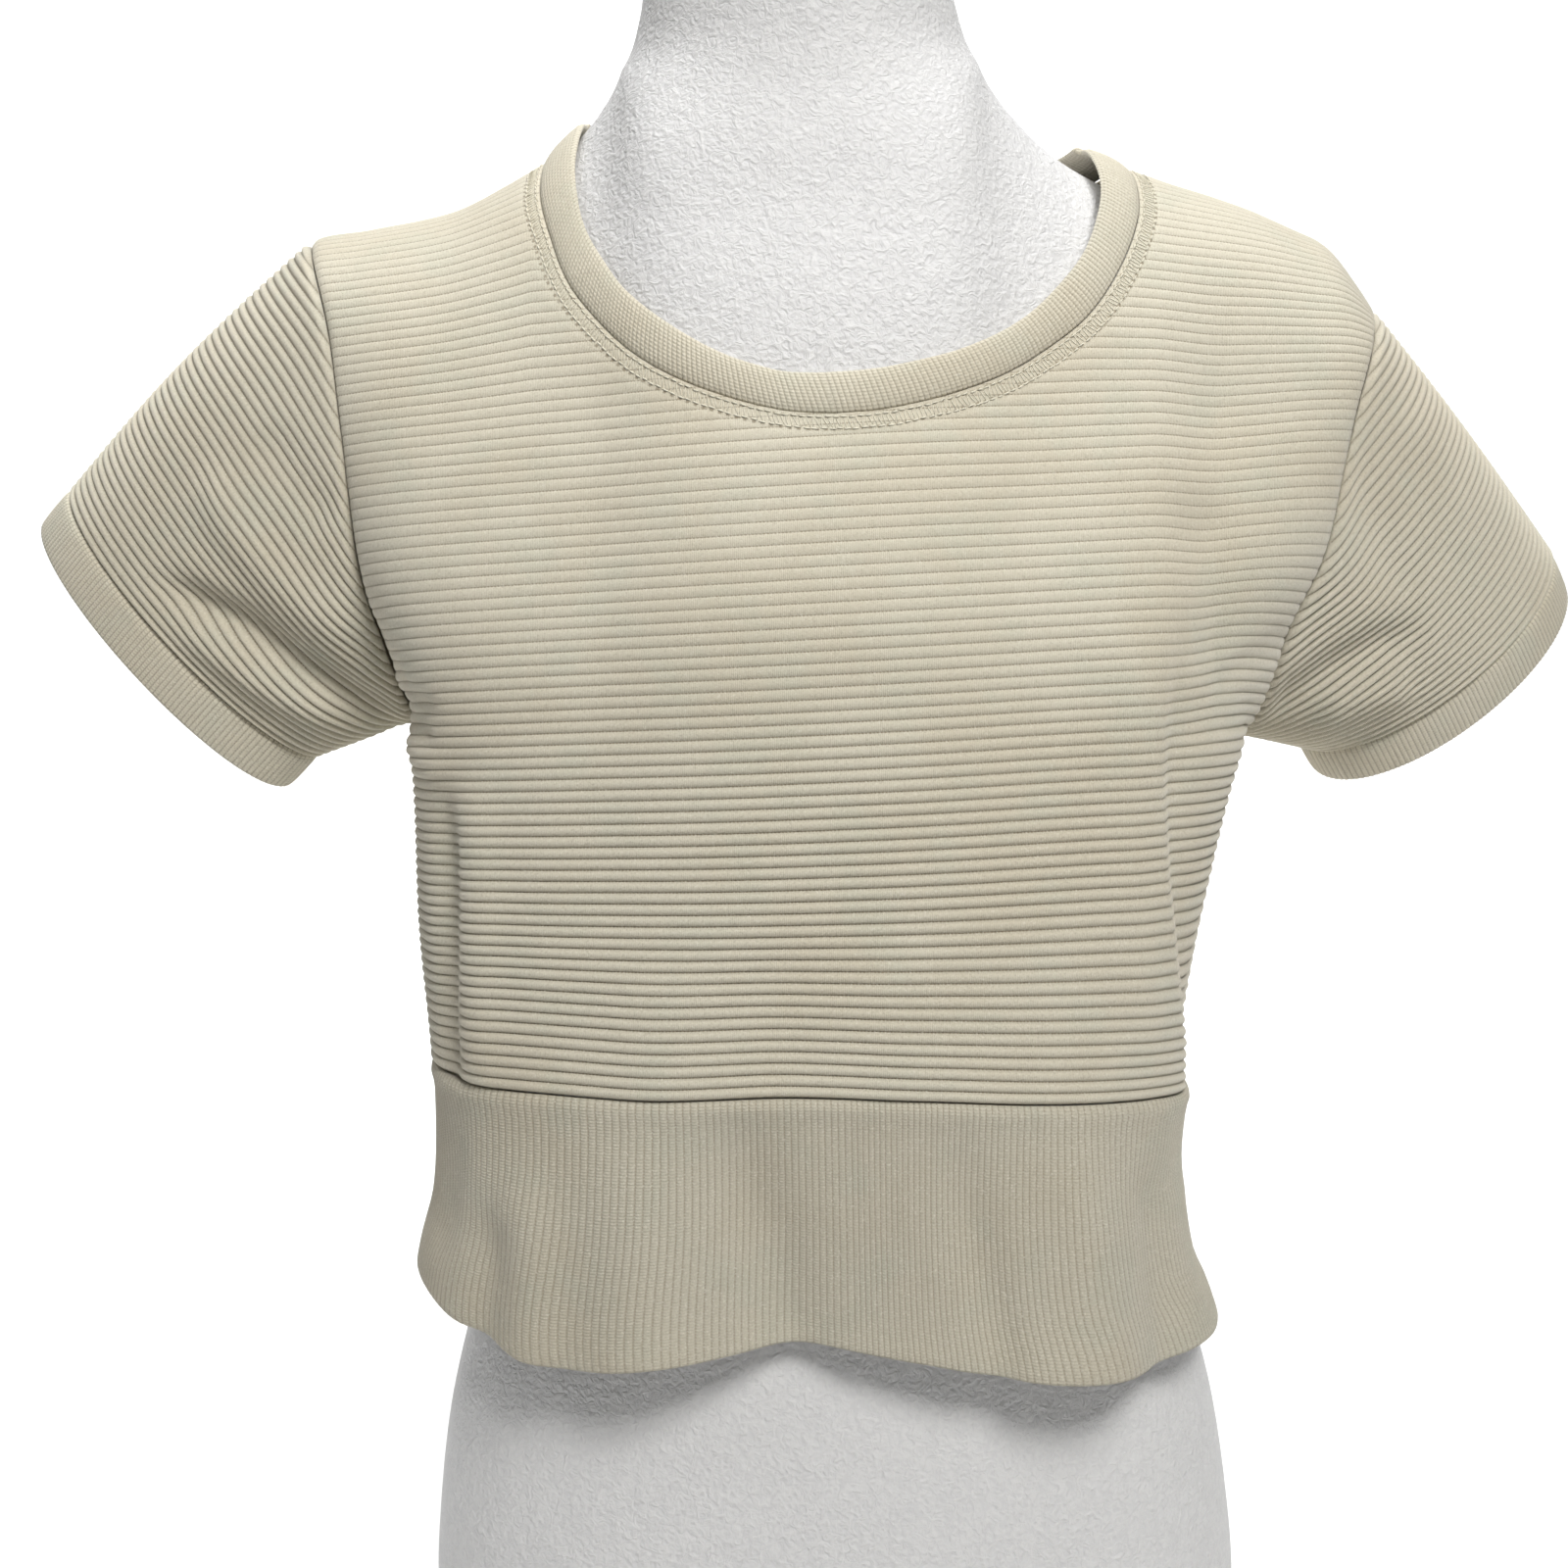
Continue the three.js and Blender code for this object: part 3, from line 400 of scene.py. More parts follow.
# %% A shell of cloth
class Shell:
    """Points and faces of one closed piece, with two places in the cloth for each point."""

    def __init__(self):
        self.points, self.knit, self.seam, self.count, self.faces = [], [], [], 0, []

    def put(self, grid, knit=None, seam=None):
        """Adds a grid of points and returns their numbers."""
        flat = grid.reshape(-1, 3)
        blank = np.full((len(flat), 2), 99.0)
        self.points.append(flat)
        self.knit.append(blank if knit is None else knit.reshape(-1, 2))
        self.seam.append(blank if seam is None else seam.reshape(-1, 2))
        ids = np.arange(self.count, self.count + len(flat)).reshape(grid.shape[:-1])
        self.count += len(flat)
        return ids

    def sheet(self, ids, flip=False):
        cells = np.stack([ids[:-1, :-1], ids[:-1, 1:], ids[1:, 1:], ids[1:, :-1]], -1).reshape(-1, 4)
        self.faces += (cells[:, ::-1] if flip else cells).tolist()

    def rim(self, outer, inner):
        """Joins the outer edge to an inner edge that has only some of its places: (place, number) pairs."""
        k = 0
        for i in range(len(outer) - 1):
            self.faces.append([outer[i], inner[k][1], outer[i + 1]])
            if k + 1 < len(inner) and inner[k + 1][0] == i + 1:
                self.faces.append([inner[k][1], inner[k + 1][1], outer[i + 1]])
                k += 1

    def close(self, loop, outer, inner, rows, step):
        """Joins sheets to their plainer insides along a loop of (sheet, row, column)."""
        found = {key: {int(r): k for k, r in enumerate(rows[key])} for key in rows}
        self.rim(
            [int(outer[key][r, c]) for key, r, c in loop],
            [
                (place, int(inner[key][found[key][r], c // step]))
                for place, (key, r, c) in enumerate(loop)
                if r in found[key] and c % step == 0
            ],
        )

    def lined(self, outer, inner, rows, step):
        """One sheet with its plainer inside, joined all round."""
        self.sheet(outer)
        self.sheet(inner, True)
        last, width = outer.shape[0] - 1, outer.shape[1] - 1
        loop = [("all", 0, c) for c in range(width + 1)]
        loop += [("all", r, width) for r in range(1, last + 1)]
        loop += [("all", last, c) for c in range(width - 1, -1, -1)]
        loop += [("all", r, 0) for r in range(last - 1, -1, -1)]
        self.close(loop, {"all": outer}, {"all": inner}, {"all": rows}, step)

    def finish(self, name):
        """Makes the object, in metres, with its faces out and smooth."""
        points = np.concatenate(self.points) / 1000
        knit, seam = np.concatenate(self.knit), np.concatenate(self.seam)
        corners = np.concatenate([np.array(f) for f in self.faces])
        used, number = np.unique(corners, return_inverse=True)
        sizes = np.array([len(f) for f in self.faces])
        starts = np.concatenate([[0], np.cumsum(sizes)[:-1]])
        kept = points[used]
        first, second, third = (kept[number[starts + k]] for k in range(3))
        tripled = (first * np.cross(second, third)).sum()
        if tripled < 0:
            order = np.concatenate([np.arange(s + n - 1, s - 1, -1) for s, n in zip(starts, sizes)])
            number = number[order]
        mesh = bpy.data.meshes.new(name)
        mesh.vertices.add(len(kept))
        mesh.vertices.foreach_set("co", kept.ravel())
        mesh.loops.add(len(number))
        mesh.loops.foreach_set("vertex_index", number.astype(np.int32))
        mesh.polygons.add(len(sizes))
        mesh.polygons.foreach_set("loop_start", starts.astype(np.int32))
        mesh.update(calc_edges=True)
        for label, places in (("Knit", knit), ("Seam", seam)):
            layer = mesh.uv_layers.new(name=label)
            layer.data.foreach_set("uv", places[used][number].astype(np.float32).ravel())
        mesh.polygons.foreach_set("use_smooth", np.ones(len(sizes), bool))
        mesh.validate()
        obj = bpy.data.objects.new(name, mesh)
        bpy.context.scene.collection.objects.link(obj)
        return obj


def welt(phase, power):
    """Height of a welt above its valleys, from 0 to 1: a low power makes it broad and full, a high one slim."""
    return np.maximum(0, np.sin(math.pi * (phase % 1))) ** power


def levels_from(start, stop, pitch):
    """Rows across the welts: their levels and phases."""
    phase = np.add.outer(np.arange(int((stop - start) / pitch) + 1), WELT).ravel()
    return start + phase * pitch, phase


def nearest(points, line):
    """Distance of each point from a closed or open line in space, and the run along it."""
    flat = points.reshape(-1, 3)
    best, at = np.full(len(flat), 1e9), np.zeros(len(flat))
    runs = np.linalg.norm(np.diff(line, axis=0), axis=1)
    total = 0
    for k, run in enumerate(runs):
        step = (line[k + 1] - line[k]) / max(run, 1e-9)
        t = np.clip((flat - line[k]) @ step, 0, run)
        far = np.linalg.norm(flat - line[k] - t[:, None] * step, axis=1)
        closer = far < best
        best[closer], at[closer] = far[closer], total + t[closer]
        total += run
    return best.reshape(points.shape[:-1]), at.reshape(points.shape[:-1])


def line_run(line):
    """Distance along a line of points, from its first one."""
    return np.concatenate([[0], np.cumsum(np.linalg.norm(np.diff(line, axis=0), axis=1))])


def run_along(grid):
    """Distance along each row of a grid, from its first point."""
    steps = np.linalg.norm(np.diff(grid, axis=1), axis=-1)
    return np.concatenate([np.zeros((len(grid), 1)), np.cumsum(steps, 1)], 1)


print("rows across one welt:", len(WELT))

# %% [markdown]
# ## Neck loops
#
# The neck seam and the neck opening are closed lines on the worn cloth. The band is sewn between them,
# and the covering stitches on the body follow the seam, so both lines come first. They are found from
# the tables rather than drawn as curves, because then they lie exactly on the cloth.


# %% Neck loops
def neck_quarter(rows, side, back, steps):
    """One quarter of a neck loop, even in its steps, from the middle up to the shoulder."""
    heights = np.linspace(rows["at"][0], rows["at"][-1], 4000)
    under = ridge(curve(rows, side, heights)) > heights
    top = heights[-1] if under.all() else heights[np.argmin(under)]
    z = rows["at"][0] + (top - rows["at"][0]) * np.linspace(0, 1, 900) ** 2
    points = on_body(curve(rows, side, z), z, back)
    run = line_run(points)
    even = np.linspace(0, run[-1], steps + 1)
    return np.stack([np.interp(even, run, points[:, k]) for k in range(3)], -1)


def neck_loop(front, back, scale):
    """The whole loop and which of its points are on the back."""
    parts = [
        (neck_quarter(front, "right", False, 14 * scale)[:-1], False),
        (neck_quarter(back, "right", True, 11 * scale)[1:][::-1], True),
        (neck_quarter(back, "left", True, 11 * scale)[:-1], True),
        (neck_quarter(front, "left", False, 14 * scale)[1:][::-1], False),
    ]
    return np.concatenate([p for p, _ in parts]), np.concatenate([np.full(len(p), b) for p, b in parts])


NECK_POINTS = 24        # points along the loops for each one of the solids'
neck_seam, neck_behind = neck_loop(NECK_FRONT, NECK_BACK, NECK_POINTS)
opening, opening_behind = neck_loop(OPENING_FRONT, OPENING_BACK, NECK_POINTS)
neck_line = np.concatenate([neck_seam, neck_seam[:1]])
neck_length = line_run(neck_line)
print("neck seam, mm:", round(float(neck_length[-1])))

# %% [markdown]
# ## Front and back
#
# Each panel is knitted flat and cut, so its welts stop at the neck, the armholes and the shoulder seams.
# They run level round the body and tilt a little where the worn cloth is pulled. Near a seam the cloth
# is drawn in by the sewing, so the welts flatten there and the edge sinks. A bump in the material could
# fake the welts, but they show in the outline, so each one is real, with six rows of points.

# %% Front and back
BODY_COLUMNS = 64
SEAM_SINK = 1.1
LINING_STEP = 4         # columns of the outside for each one of the plain inside


def armhole_edge(side, u):
    """Edge of an armhole: the underarm at 0, the front at 0.25, the shoulder at 0.5, the back at 0.75."""
    sign = -1 if side == "left" else 1
    tops = np.arange(500, 660, 0.2)
    top = tops[np.argmin(ridge(sign * curve(BODY, side, tops)) > tops)]
    z = UNDERARM[side] + (top - UNDERARM[side]) * (1 - np.cos(2 * math.pi * u)) / 2
    x = sign * curve(BODY, side, z)
    return np.where((u > 0.5)[..., None], on_body(x, z, True), on_body(x, z, False))


ARM_LINES = {side: armhole_edge(side, np.linspace(0, 1, 161)) for side in ("left", "right")}


def panel_rows(back):
    """Where a panel's points lie in the front view on each side, and the last row that runs right across."""
    levels, phase = levels_from(270, 660, RIB_PITCH)
    halves = {}
    for side, sign in (("left", -1), ("right", 1)):
        ends, starts = welt_ends(sign, levels), welt_starts(sign, levels, back)
        stay = np.logical_and.accumulate(np.abs(ends) - np.abs(starts) >= 3)
        lv, ph, end, start = levels[stay], phase[stay], ends[stay], starts[stay]
        f = 1 - np.arange(BODY_COLUMNS + 1) / BODY_COLUMNS
        x = start[:, None] + (end - start)[:, None] * spread(f[None], lv[:, None])
        halves[side] = (x, height_at(x, lv[:, None]), ph, start)
    both = min(len(halves["left"][3]), len(halves["right"][3]))
    whole = (halves["left"][3][:both] == MIDDLE) & (halves["right"][3][:both] == MIDDLE)
    return halves, int(np.argmin(whole)) - 1


def body_lift(x, z, phase, fold, sewn, neck_far):
    """Height of the outside: the wall, folds and welts, less what the seams draw in."""
    waist_far = np.maximum(0, z - curve(WAIST, "seam", x))
    flat = smooth((neck_far - 5.5) / 3.5) * (0.35 + 0.65 * smooth((sewn - 0.4) / 2.6))
    drawn = SEAM_SINK * (1 - smooth(sewn / 2.4))
    drawn = drawn + 0.2 * (1 - smooth(neck_far / 1.2)) + 0.3 * (1 - smooth(neck_far / 8))
    drawn = drawn + 0.5 * (1 - smooth(waist_far / 1.6))
    loose = smooth((475 - z) / 150)
    raised = RIB_RISE * (0.4 + loose) * welt(phase[:, None], 0.55 + 0.35 * loose) * flat
    return WALL + fold + raised - drawn


def body_panel(name, back):
    halves, split = panel_rows(back)
    shell, outer, inner, rows = Shell(), {}, {}, {}
    sign_of = {"left": -1, "right": 1}
    for side in ("left", "right"):
        x, z, ph, start = halves[side]
        base, n = on_body(x, z, back), out_of(x, z, back)
        edge = base[:, 0]
        least = (1 if back else -1) * SEAM_GAP / 2
        edge[:, 1] = np.where(np.abs(edge[:, 1]) < SEAM_GAP / 2, least, edge[:, 1])
        n[:, 0, 0] *= 1 - 0.7 * np.minimum(1, np.abs(edge[:, 1]) / 40)
        n[:, 0] = unit(n[:, 0])
        side_far = run_along(base)
        along_x = sign_of[side] * (side_far[:, -1:] - side_far) + (start[:, None] - MIDDLE)
        places = np.stack([x, z], -1)
        fold = folded(places, BACK_FOLDS if back else FRONT_FOLDS)
        fold = fold + ledged(places, [] if back else FRONT_LEDGES) * smooth(side_far / 42)
        neck_far, neck_run = nearest(base, neck_line[::6])
        arm_far, _ = nearest(base, ARM_LINES[side])
        shoulder_far = np.maximum(0, ridge(x) - z) * 2 + np.where(z < 560, 50, 0)
        fold = fold * smooth(neck_far / 30) * smooth((arm_far + 1) / 14) * smooth(side_far / 10)
        sewn = np.minimum(np.minimum(arm_far, side_far), shoulder_far)
        lift = body_lift(x, z, ph, fold, sewn, neck_far)
        knit = np.stack([along_x, np.broadcast_to(ph[:, None], x.shape)], -1)
        seams = np.stack([neck_far, neck_run], -1)
        outer[side] = shell.put(base + n * lift[..., None], knit, seams)
        rows[side] = np.unique(np.concatenate([
            np.arange(0, split, 6),
            split + np.array([0, 1, 2, 4, 6, 9]),
            np.arange(split + 12, len(x) - 3, 6),
            [len(x) - 1],
        ]))
        inner[side] = shell.put((base + n * deepened(fold)[..., None])[rows[side]][:, ::LINING_STEP])
    outer["right"][: split + 1, -1] = outer["left"][: split + 1, -1]
    low = rows["left"] <= split
    inner["right"][: low.sum(), -1] = inner["left"][: low.sum(), -1]
    for side, flip in (("left", False), ("right", True)):
        shell.sheet(outer[side], flip)
        shell.sheet(inner[side], not flip)
    top_left, top_right = (len(halves[side][0]) - 1 for side in ("left", "right"))
    width = BODY_COLUMNS
    loop = [("left", 0, c) for c in range(width + 1)]
    loop += [("right", 0, c) for c in range(width - 1, -1, -1)]
    loop += [("right", r, 0) for r in range(1, top_right + 1)]
    loop += [("right", top_right, c) for c in range(1, width + 1)]
    loop += [("right", r, width) for r in range(top_right - 1, split, -1)]
    loop += [("left", r, width) for r in range(split, top_left + 1)]
    loop += [("left", top_left, c) for c in range(width - 1, -1, -1)]
    loop += [("left", r, 0) for r in range(top_left - 1, -1, -1)]
    shell.close(loop, outer, inner, rows, LINING_STEP)
    print(name, "rows:", len(halves["left"][0]), "faces:", len(shell.faces))
    return shell.finish(name)


front = body_panel("front_panel", False)
back = body_panel("back_panel", True)

# %% [markdown]
# ## Sleeves
#
# A set-in sleeve is a short tube whose upper end is cut to the armhole. Its welts run round the arm, even with
# the cuff, and the armhole cuts the upper ones. A tube could be bent and then cut, but it is simpler to draw
# straight lines from the cuff's edge to the armhole's edge and to walk along them one welt at a time.
# The arm hangs empty here, so the tube sags: a fold runs from the armpit up toward the outside,
# and the cloth below it bellies out.

# %% Sleeves
SLEEVE_COLUMNS = 96
CAP_ROUND = 1.26        # above 1 the sleeve's cap is pointed rather than full


def cuff_edge(side, u, out):
    """Edge of a cuff seam, moved out along the arm by a distance."""
    s = SLEEVES[side]
    up, fore = -np.cos(2 * math.pi * u), np.sin(2 * math.pi * u)
    lengths = {"top": up, "front": fore, "outward": out + 0 * u}
    parts = [np.multiply.outer(length, np.array(s[way], float)) for way, length in lengths.items()]
    return np.array(s["centre"], float) + sum(parts)


def sleeve_length(side, u):
    s = SLEEVES[side]
    return s["under"] + (s["over"] - s["under"]) * np.sin(math.pi * u) ** CAP_ROUND


def on_sleeve(side, u, far):
    """A sleeve's inside at a distance from the cuff seam."""
    s = SLEEVES[side]
    whole = sleeve_length(side, u)
    w = np.minimum(1, far / whole)[..., None]
    cuff, edge = cuff_edge(side, u, 0), armhole_edge(side, u)
    under = 2.0 * np.maximum(0, np.cos(2 * math.pi * u))
    behind = s["behind"] * np.maximum(0, -np.sin(2 * math.pi * u))
    clear = ((1.5 * SEAM_GAP + under + behind) / whole)[..., None]
    p = cuff + (edge + (cuff - edge) * clear - cuff) * w
    radial = unit(cuff - np.array(s["centre"], float))
    return p + radial * (s["bulge"] * np.sin(math.pi * w) * np.sin(math.pi * u)[..., None])


SLEEVE_FOLDS = {
    "left": [
        (-6.0, 6.5, [(-150, 397), (-174, 409), (-191, 422), (-211, 437), (-234, 448), (-254, 456)]),
        (3.0, 7, [(-176, 396), (-192, 406), (-212, 417), (-234, 430), (-250, 440)]),
        (3.2, 9, [(-166, 424), (-180, 438), (-197, 454), (-214, 474), (-222, 500)]),
        (-2.2, 9, [(-172, 470), (-186, 486), (-200, 510)]),
    ],
    "right": [
        (-3.2, 8, [(164, 392), (180, 402), (196, 412), (214, 420), (236, 424)]),
        (1.8, 8, [(190, 390), (210, 398), (234, 404)]),
        (-1.6, 10, [(190, 500), (202, 470), (214, 448), (230, 436)]),
        (1.4, 11, [(216, 510), (234, 482), (250, 458)]),
    ],
}


def sleeve_out(side, u, far, levels):
    """Directions out of a sleeve. Next to the cuff they lie in the cuff's own plane."""
    s, step = SLEEVES[side], 0.004
    base = on_sleeve(side, u, far)
    ahead, behind = np.clip(u + step, 0, 1), np.clip(u - step, 0, 1)
    du = on_sleeve(side, ahead, np.minimum(far, sleeve_length(side, ahead)))
    du = du - on_sleeve(side, behind, np.minimum(far, sleeve_length(side, behind)))
    df = on_sleeve(side, u, far + 0.01) - on_sleeve(side, u, np.maximum(far - 0.6, -0.6))
    n = unit(np.cross(du, df))
    arm = (armhole_edge(side, np.array([0.25])) + armhole_edge(side, np.array([0.75])))[0] / 2
    centre = np.array(s["centre"], float)
    middle = centre + (arm - centre) * (levels / s["over"])[:, None, None]
    n = np.where(((base - middle) * n).sum(-1, keepdims=True) < 0, -n, n)
    outward = unit(np.array(s["outward"], float))
    near_cuff = (1 - smooth(far / 3))[..., None]
    return unit(n - near_cuff * (n @ outward)[..., None] * outward)


def sleeve(name, side):
    s = SLEEVES[side]
    levels, phase = levels_from(0, s["over"] + SLEEVE_PITCH, SLEEVE_PITCH)
    keep = levels < s["over"] - 1
    levels, phase = levels[keep], phase[keep]
    share = np.maximum(0, (levels - s["under"]) / (s["over"] - s["under"]))
    start = np.maximum(0.0005, np.arcsin(share ** (1 / CAP_ROUND)) / math.pi)
    f = np.arange(SLEEVE_COLUMNS + 1) / SLEEVE_COLUMNS
    u = start[:, None] + (1 - 2 * start[:, None]) * f
    far = np.broadcast_to(levels[:, None], u.shape)
    base, n = on_sleeve(side, u, far), sleeve_out(side, u, far, levels)
    fore = smooth(0.5 + np.sin(2 * math.pi * u) * 1.5)
    fold = folded(base[..., ::2], SLEEVE_FOLDS[side]) * fore
    left = sleeve_length(side, u) - far
    fold = fold * smooth((far - 1) / 18) * smooth((left + 1) / 12)
    flat = 0.35 + 0.65 * smooth((left - 0.4) / 2.6)
    drawn = SEAM_SINK * (1 - smooth(left / 2.4)) + 0.4 * (1 - smooth(far / 1.6))
    loose = smooth((500 - base[..., 2]) / 90)
    lift = WALL + fold + RIB_RISE * (1.1 + 0.6 * loose) * welt(phase[:, None], 0.95) * flat - drawn
    knit = np.stack([run_along(base), np.broadcast_to(phase[:, None], u.shape)], -1)
    shell = Shell()
    outer = shell.put(base + n * lift[..., None], knit)
    rows = np.unique(np.concatenate([np.arange(0, len(levels) - 3, 6), [len(levels) - 1]]))
    inner = shell.put((base + n * deepened(fold)[..., None])[rows][:, ::LINING_STEP])
    shell.lined(outer, inner, rows, LINING_STEP)
    print(name, "rows:", len(levels), "faces:", len(shell.faces))
    return shell.finish(name)


sleeve_left = sleeve("left_sleeve", "left")
sleeve_right = sleeve("right_sleeve", "right")

# %% [markdown]
# ## Bands
#
# Neckband, cuffs and waistband are a fine one-by-one rib, folded double and sewn on by the raw edges.
# The ribs run across each band, so the seam side and the fold side show their ends.
# Neckband and cuffs are closed rings. A curve with a bevel could make them, but it can't carry the ribs,
# so a section is turned round the loop, and each rib is four sections wide.


# %% Bands
FINE_ROWS = np.array([0, 0.22, 0.5, 0.78])  # sections across one fine rib


def fine_rib(count):
    """Height of the one-by-one rib, from 0 to 1, at a count of ribs along a band."""
    return np.sin(math.pi * (count % 1)) ** 0.7


def ring_of(name, sections, runs, across):
    """A closed ring from sections, with its place in the knit."""
    shell = Shell()
    shape = sections.shape[:2]
    knit = np.stack([np.broadcast_to(runs[:, None], shape), np.broadcast_to(across, shape)], -1)
    ids = shell.put(sections, knit)
    ids = np.concatenate([ids, ids[:1]])
    shell.sheet(np.concatenate([ids, ids[:, :1]], 1))
    print(name, "faces:", len(shell.faces))
    return shell.finish(name)


def even_runs(length):
    """Places along a closed band: four to a rib, with a whole number of ribs."""
    ribs = round(length / FINE_PITCH)
    return (np.arange(ribs)[:, None] + FINE_ROWS).ravel() / ribs, ribs


def cuff(name, side):
    s = SLEEVES[side]
    fine = np.linspace(0, 1, 2001)
    edge = cuff_edge(side, fine, 0)
    run = line_run(edge)
    share, ribs = even_runs(run[-1])
    u = np.interp(share * run[-1], run, fine)
    outward = np.array(s["outward"], float)
    tangent = cuff_edge(side, u + 0.01, 0) - cuff_edge(side, u - 0.01, 0)
    n = unit(np.cross(tangent, outward))
    middle = cuff_edge(side, u, 0) - np.array(s["centre"], float)
    n = np.where((n * middle).sum(-1, keepdims=True) < 0, -n, n)
    rib = FINE_RISE * fine_rib(share * ribs)
    d = CUFF_DEPTH
    profile = [
        (SEAM_GAP, 0.1, 0), (d * 0.5, 0.1, 0), (d - 1.2, 0.1, 0), (d - 0.35, 0.35, 0),
        (d, 0.9, 0.4), (d, 1.5, 0.7), (d - 0.5, BAND_WALL, 0.9), (d - 1.6, BAND_WALL + 0.25, 1),
        (d * 0.75, BAND_WALL + 0.45, 1), (d * 0.5, BAND_WALL + 0.5, 1), (d * 0.25, BAND_WALL + 0.45, 1),
        (2.6, BAND_WALL + 0.3, 1), (1.2, BAND_WALL, 0.9), (0.5, BAND_WALL - 0.6, 0.5), (SEAM_GAP, 1.0, 0.2),
    ]
    sections = np.stack([
        cuff_edge(side, u, 0) + outward * out + n * (lift + rib * ribbed - 0.25)[:, None]
        for out, lift, ribbed in profile
    ], 1)
    return ring_of(name, sections, share * ribs, np.array([p[0] for p in profile]))


cuff_left = cuff("left_cuff", "left")
cuff_right = cuff("right_cuff", "right")


def neckband(name):
    run = neck_length
    share, ribs = even_runs(run[-1])

    def at(values):
        """Values of the loop's points, at the places of the ribs' sections."""
        ring = np.concatenate([values, values[:1]])
        return np.stack([np.interp(share * run[-1], run, ring[:, k]) for k in range(ring.shape[1])], -1)

    def normals(points, behind):
        x, z = points[:, 0], points[:, 2]
        return np.where(behind[:, None], out_of(x, z, True), out_of(x, z, False))

    p, q = at(neck_seam), at(opening)
    n, m = unit(at(normals(neck_seam, neck_behind))), unit(at(normals(opening, opening_behind)))
    behind = at(neck_behind[:, None].astype(float))
    wide = np.linalg.norm(q - p, axis=1, keepdims=True)
    apart = 0.3 + 0.5 * behind + 1.2 * smooth(1 - np.abs(p[:, 1:2]) / 20)
    rib = (FINE_RISE * fine_rib(share * ribs))[:, None]

    def point(t, lift, ribbed):
        """A place across the band: from 0 at the seam to 1 at the fold."""
        turn = unit(n * (1 - t) + m * t) if 0 < t < 1 else (n if t <= 0 else m)
        place = p + (q - p) * (apart / wide + (1 - apart / wide) * t)
        return place + turn * (lift + 0.4 * math.sin(math.pi * t) + rib * ribbed - 0.2)

    profile = [
        (0, 0.2, 0), (0.5, 0.1, 0), (0.88, 0.2, 0), (0.975, 0.6, 0.1), (1, 1.2, 0.5), (0.975, 1.8, 0.8),
        (0.9, BAND_WALL + 0.1, 1), (0.7, BAND_WALL + 0.2, 1), (0.5, BAND_WALL + 0.2, 1),
        (0.32, BAND_WALL + 0.1, 1), (0.16, BAND_WALL - 0.25, 1), (0.06, BAND_WALL - 0.6, 0.8),
        (0, BAND_WALL - 1.1, 0.3),
    ]
    sections = np.stack([point(*row) for row in profile], 1)
    return ring_of(name, sections, share * ribs, np.array([14 * row[0] for row in profile]))


neck = neckband("neck_band")

# %% [markdown]
# ## Cover stitch
#
# The neck seam is pressed towards the body and held there by a cover stitch: two rows of straight stitches,
# about 5 mm apart, with finer threads that cross between them. The material could show them as a pattern,
# but thread catches the light, so each stitch is a small tube, laid on whichever panel lies under it.


# %% Cover stitch
STITCH = 2.9            # length of one stitch of the two rows


def thread(shell, path, thick):
    """One short thread: a thin tube along three or more places."""
    ahead = unit(np.gradient(path, axis=0))
    aside = unit(np.cross(ahead, np.array([0.3, 0.2, 0.93])))
    over = np.cross(ahead, aside)
    angle = np.arange(5) / 5 * 2 * math.pi
    taper = thick * np.array([0.35] + [1] * (len(path) - 2) + [0.35])
    ring = aside[:, None] * np.cos(angle)[:, None] + over[:, None] * np.sin(angle)[:, None]
    ids = shell.put(path[:, None] + ring * taper[:, None, None])
    shell.sheet(np.concatenate([ids, ids[:, :1]], 1))
    shell.faces += [ids[0, ::-1].tolist(), ids[-1].tolist()]


def cover_stitch(name):
    run = neck_length
    hole_line, behind = (np.concatenate([ring, ring[:1]]) for ring in (opening, neck_behind))
    x, z, is_back = neck_line[:, 0], neck_line[:, 2], behind[:, None]
    up = out_of(x, z, False) * ~is_back + out_of(x, z, True) * is_back

    def laid(places, out, lift):
        """Places on the cloth, out from the neck seam and a little above it."""
        seam, hole, over = (
            np.stack([np.interp(places % run[-1], run, ring[:, k]) for k in range(3)], -1)
            for ring in (neck_line, hole_line, up)
        )
        wanted = seam + unit(seam - hole) * np.reshape(out, (-1, 1)) + unit(over) * 2.5
        found = []
        for point in wanted:
            tries = [panel.closest_point_on_mesh(Vector(point) / 1000) for panel in (front, back)]
            _, spot, normal, _ = min(tries, key=lambda one: (one[1] * 1000 - Vector(point)).length)
            found.append((spot + normal * lift / 1000) * 1000)
        return np.array(found)

    shell, chance, stitch = Shell(), np.random.default_rng(4), STITCH
    for out in (1.5, 6.2):
        starts = np.arange(0, run[-1], stitch) + chance.uniform(-0.25, 0.25, int(run[-1] / stitch) + 1)
        places = (starts[:, None] + np.array([0.25, 1.0, 1.8, 2.6])).ravel()
        wander = np.repeat(chance.uniform(-0.25, 0.25, len(starts)), 4)
        for path in laid(places, out + wander, 0.22).reshape(-1, 4, 3):
            thread(shell, path, 0.33)
    starts = np.arange(0, run[-1], stitch / 2)
    lean = chance.uniform(-0.6, 0.6, len(starts))
    places = (starts[:, None] + np.outer(lean, [-1, 0, 1])).ravel()
    for path in laid(places, np.tile([1.9, 3.8, 5.8], len(starts)), 0.12).reshape(-1, 3, 3):
        thread(shell, path, 0.22)
    print(name, "faces:", len(shell.faces))
    return shell.finish(name)


stitches = cover_stitch("neck_cover_stitch")

# %% [markdown]
# ## Waistband
#
# The waistband is about 100 mm deep and is cut as two pieces, joined at the sides under the body's side seams.
# It hangs free below the body, so its lower edge waves in soft flutes. A firm roll stands out just below
# the seam, where four layers of cloth are sewn together, and the hem is a fold. It is made as the body is,
# with its columns four to a rib, because its ribs run up and down.

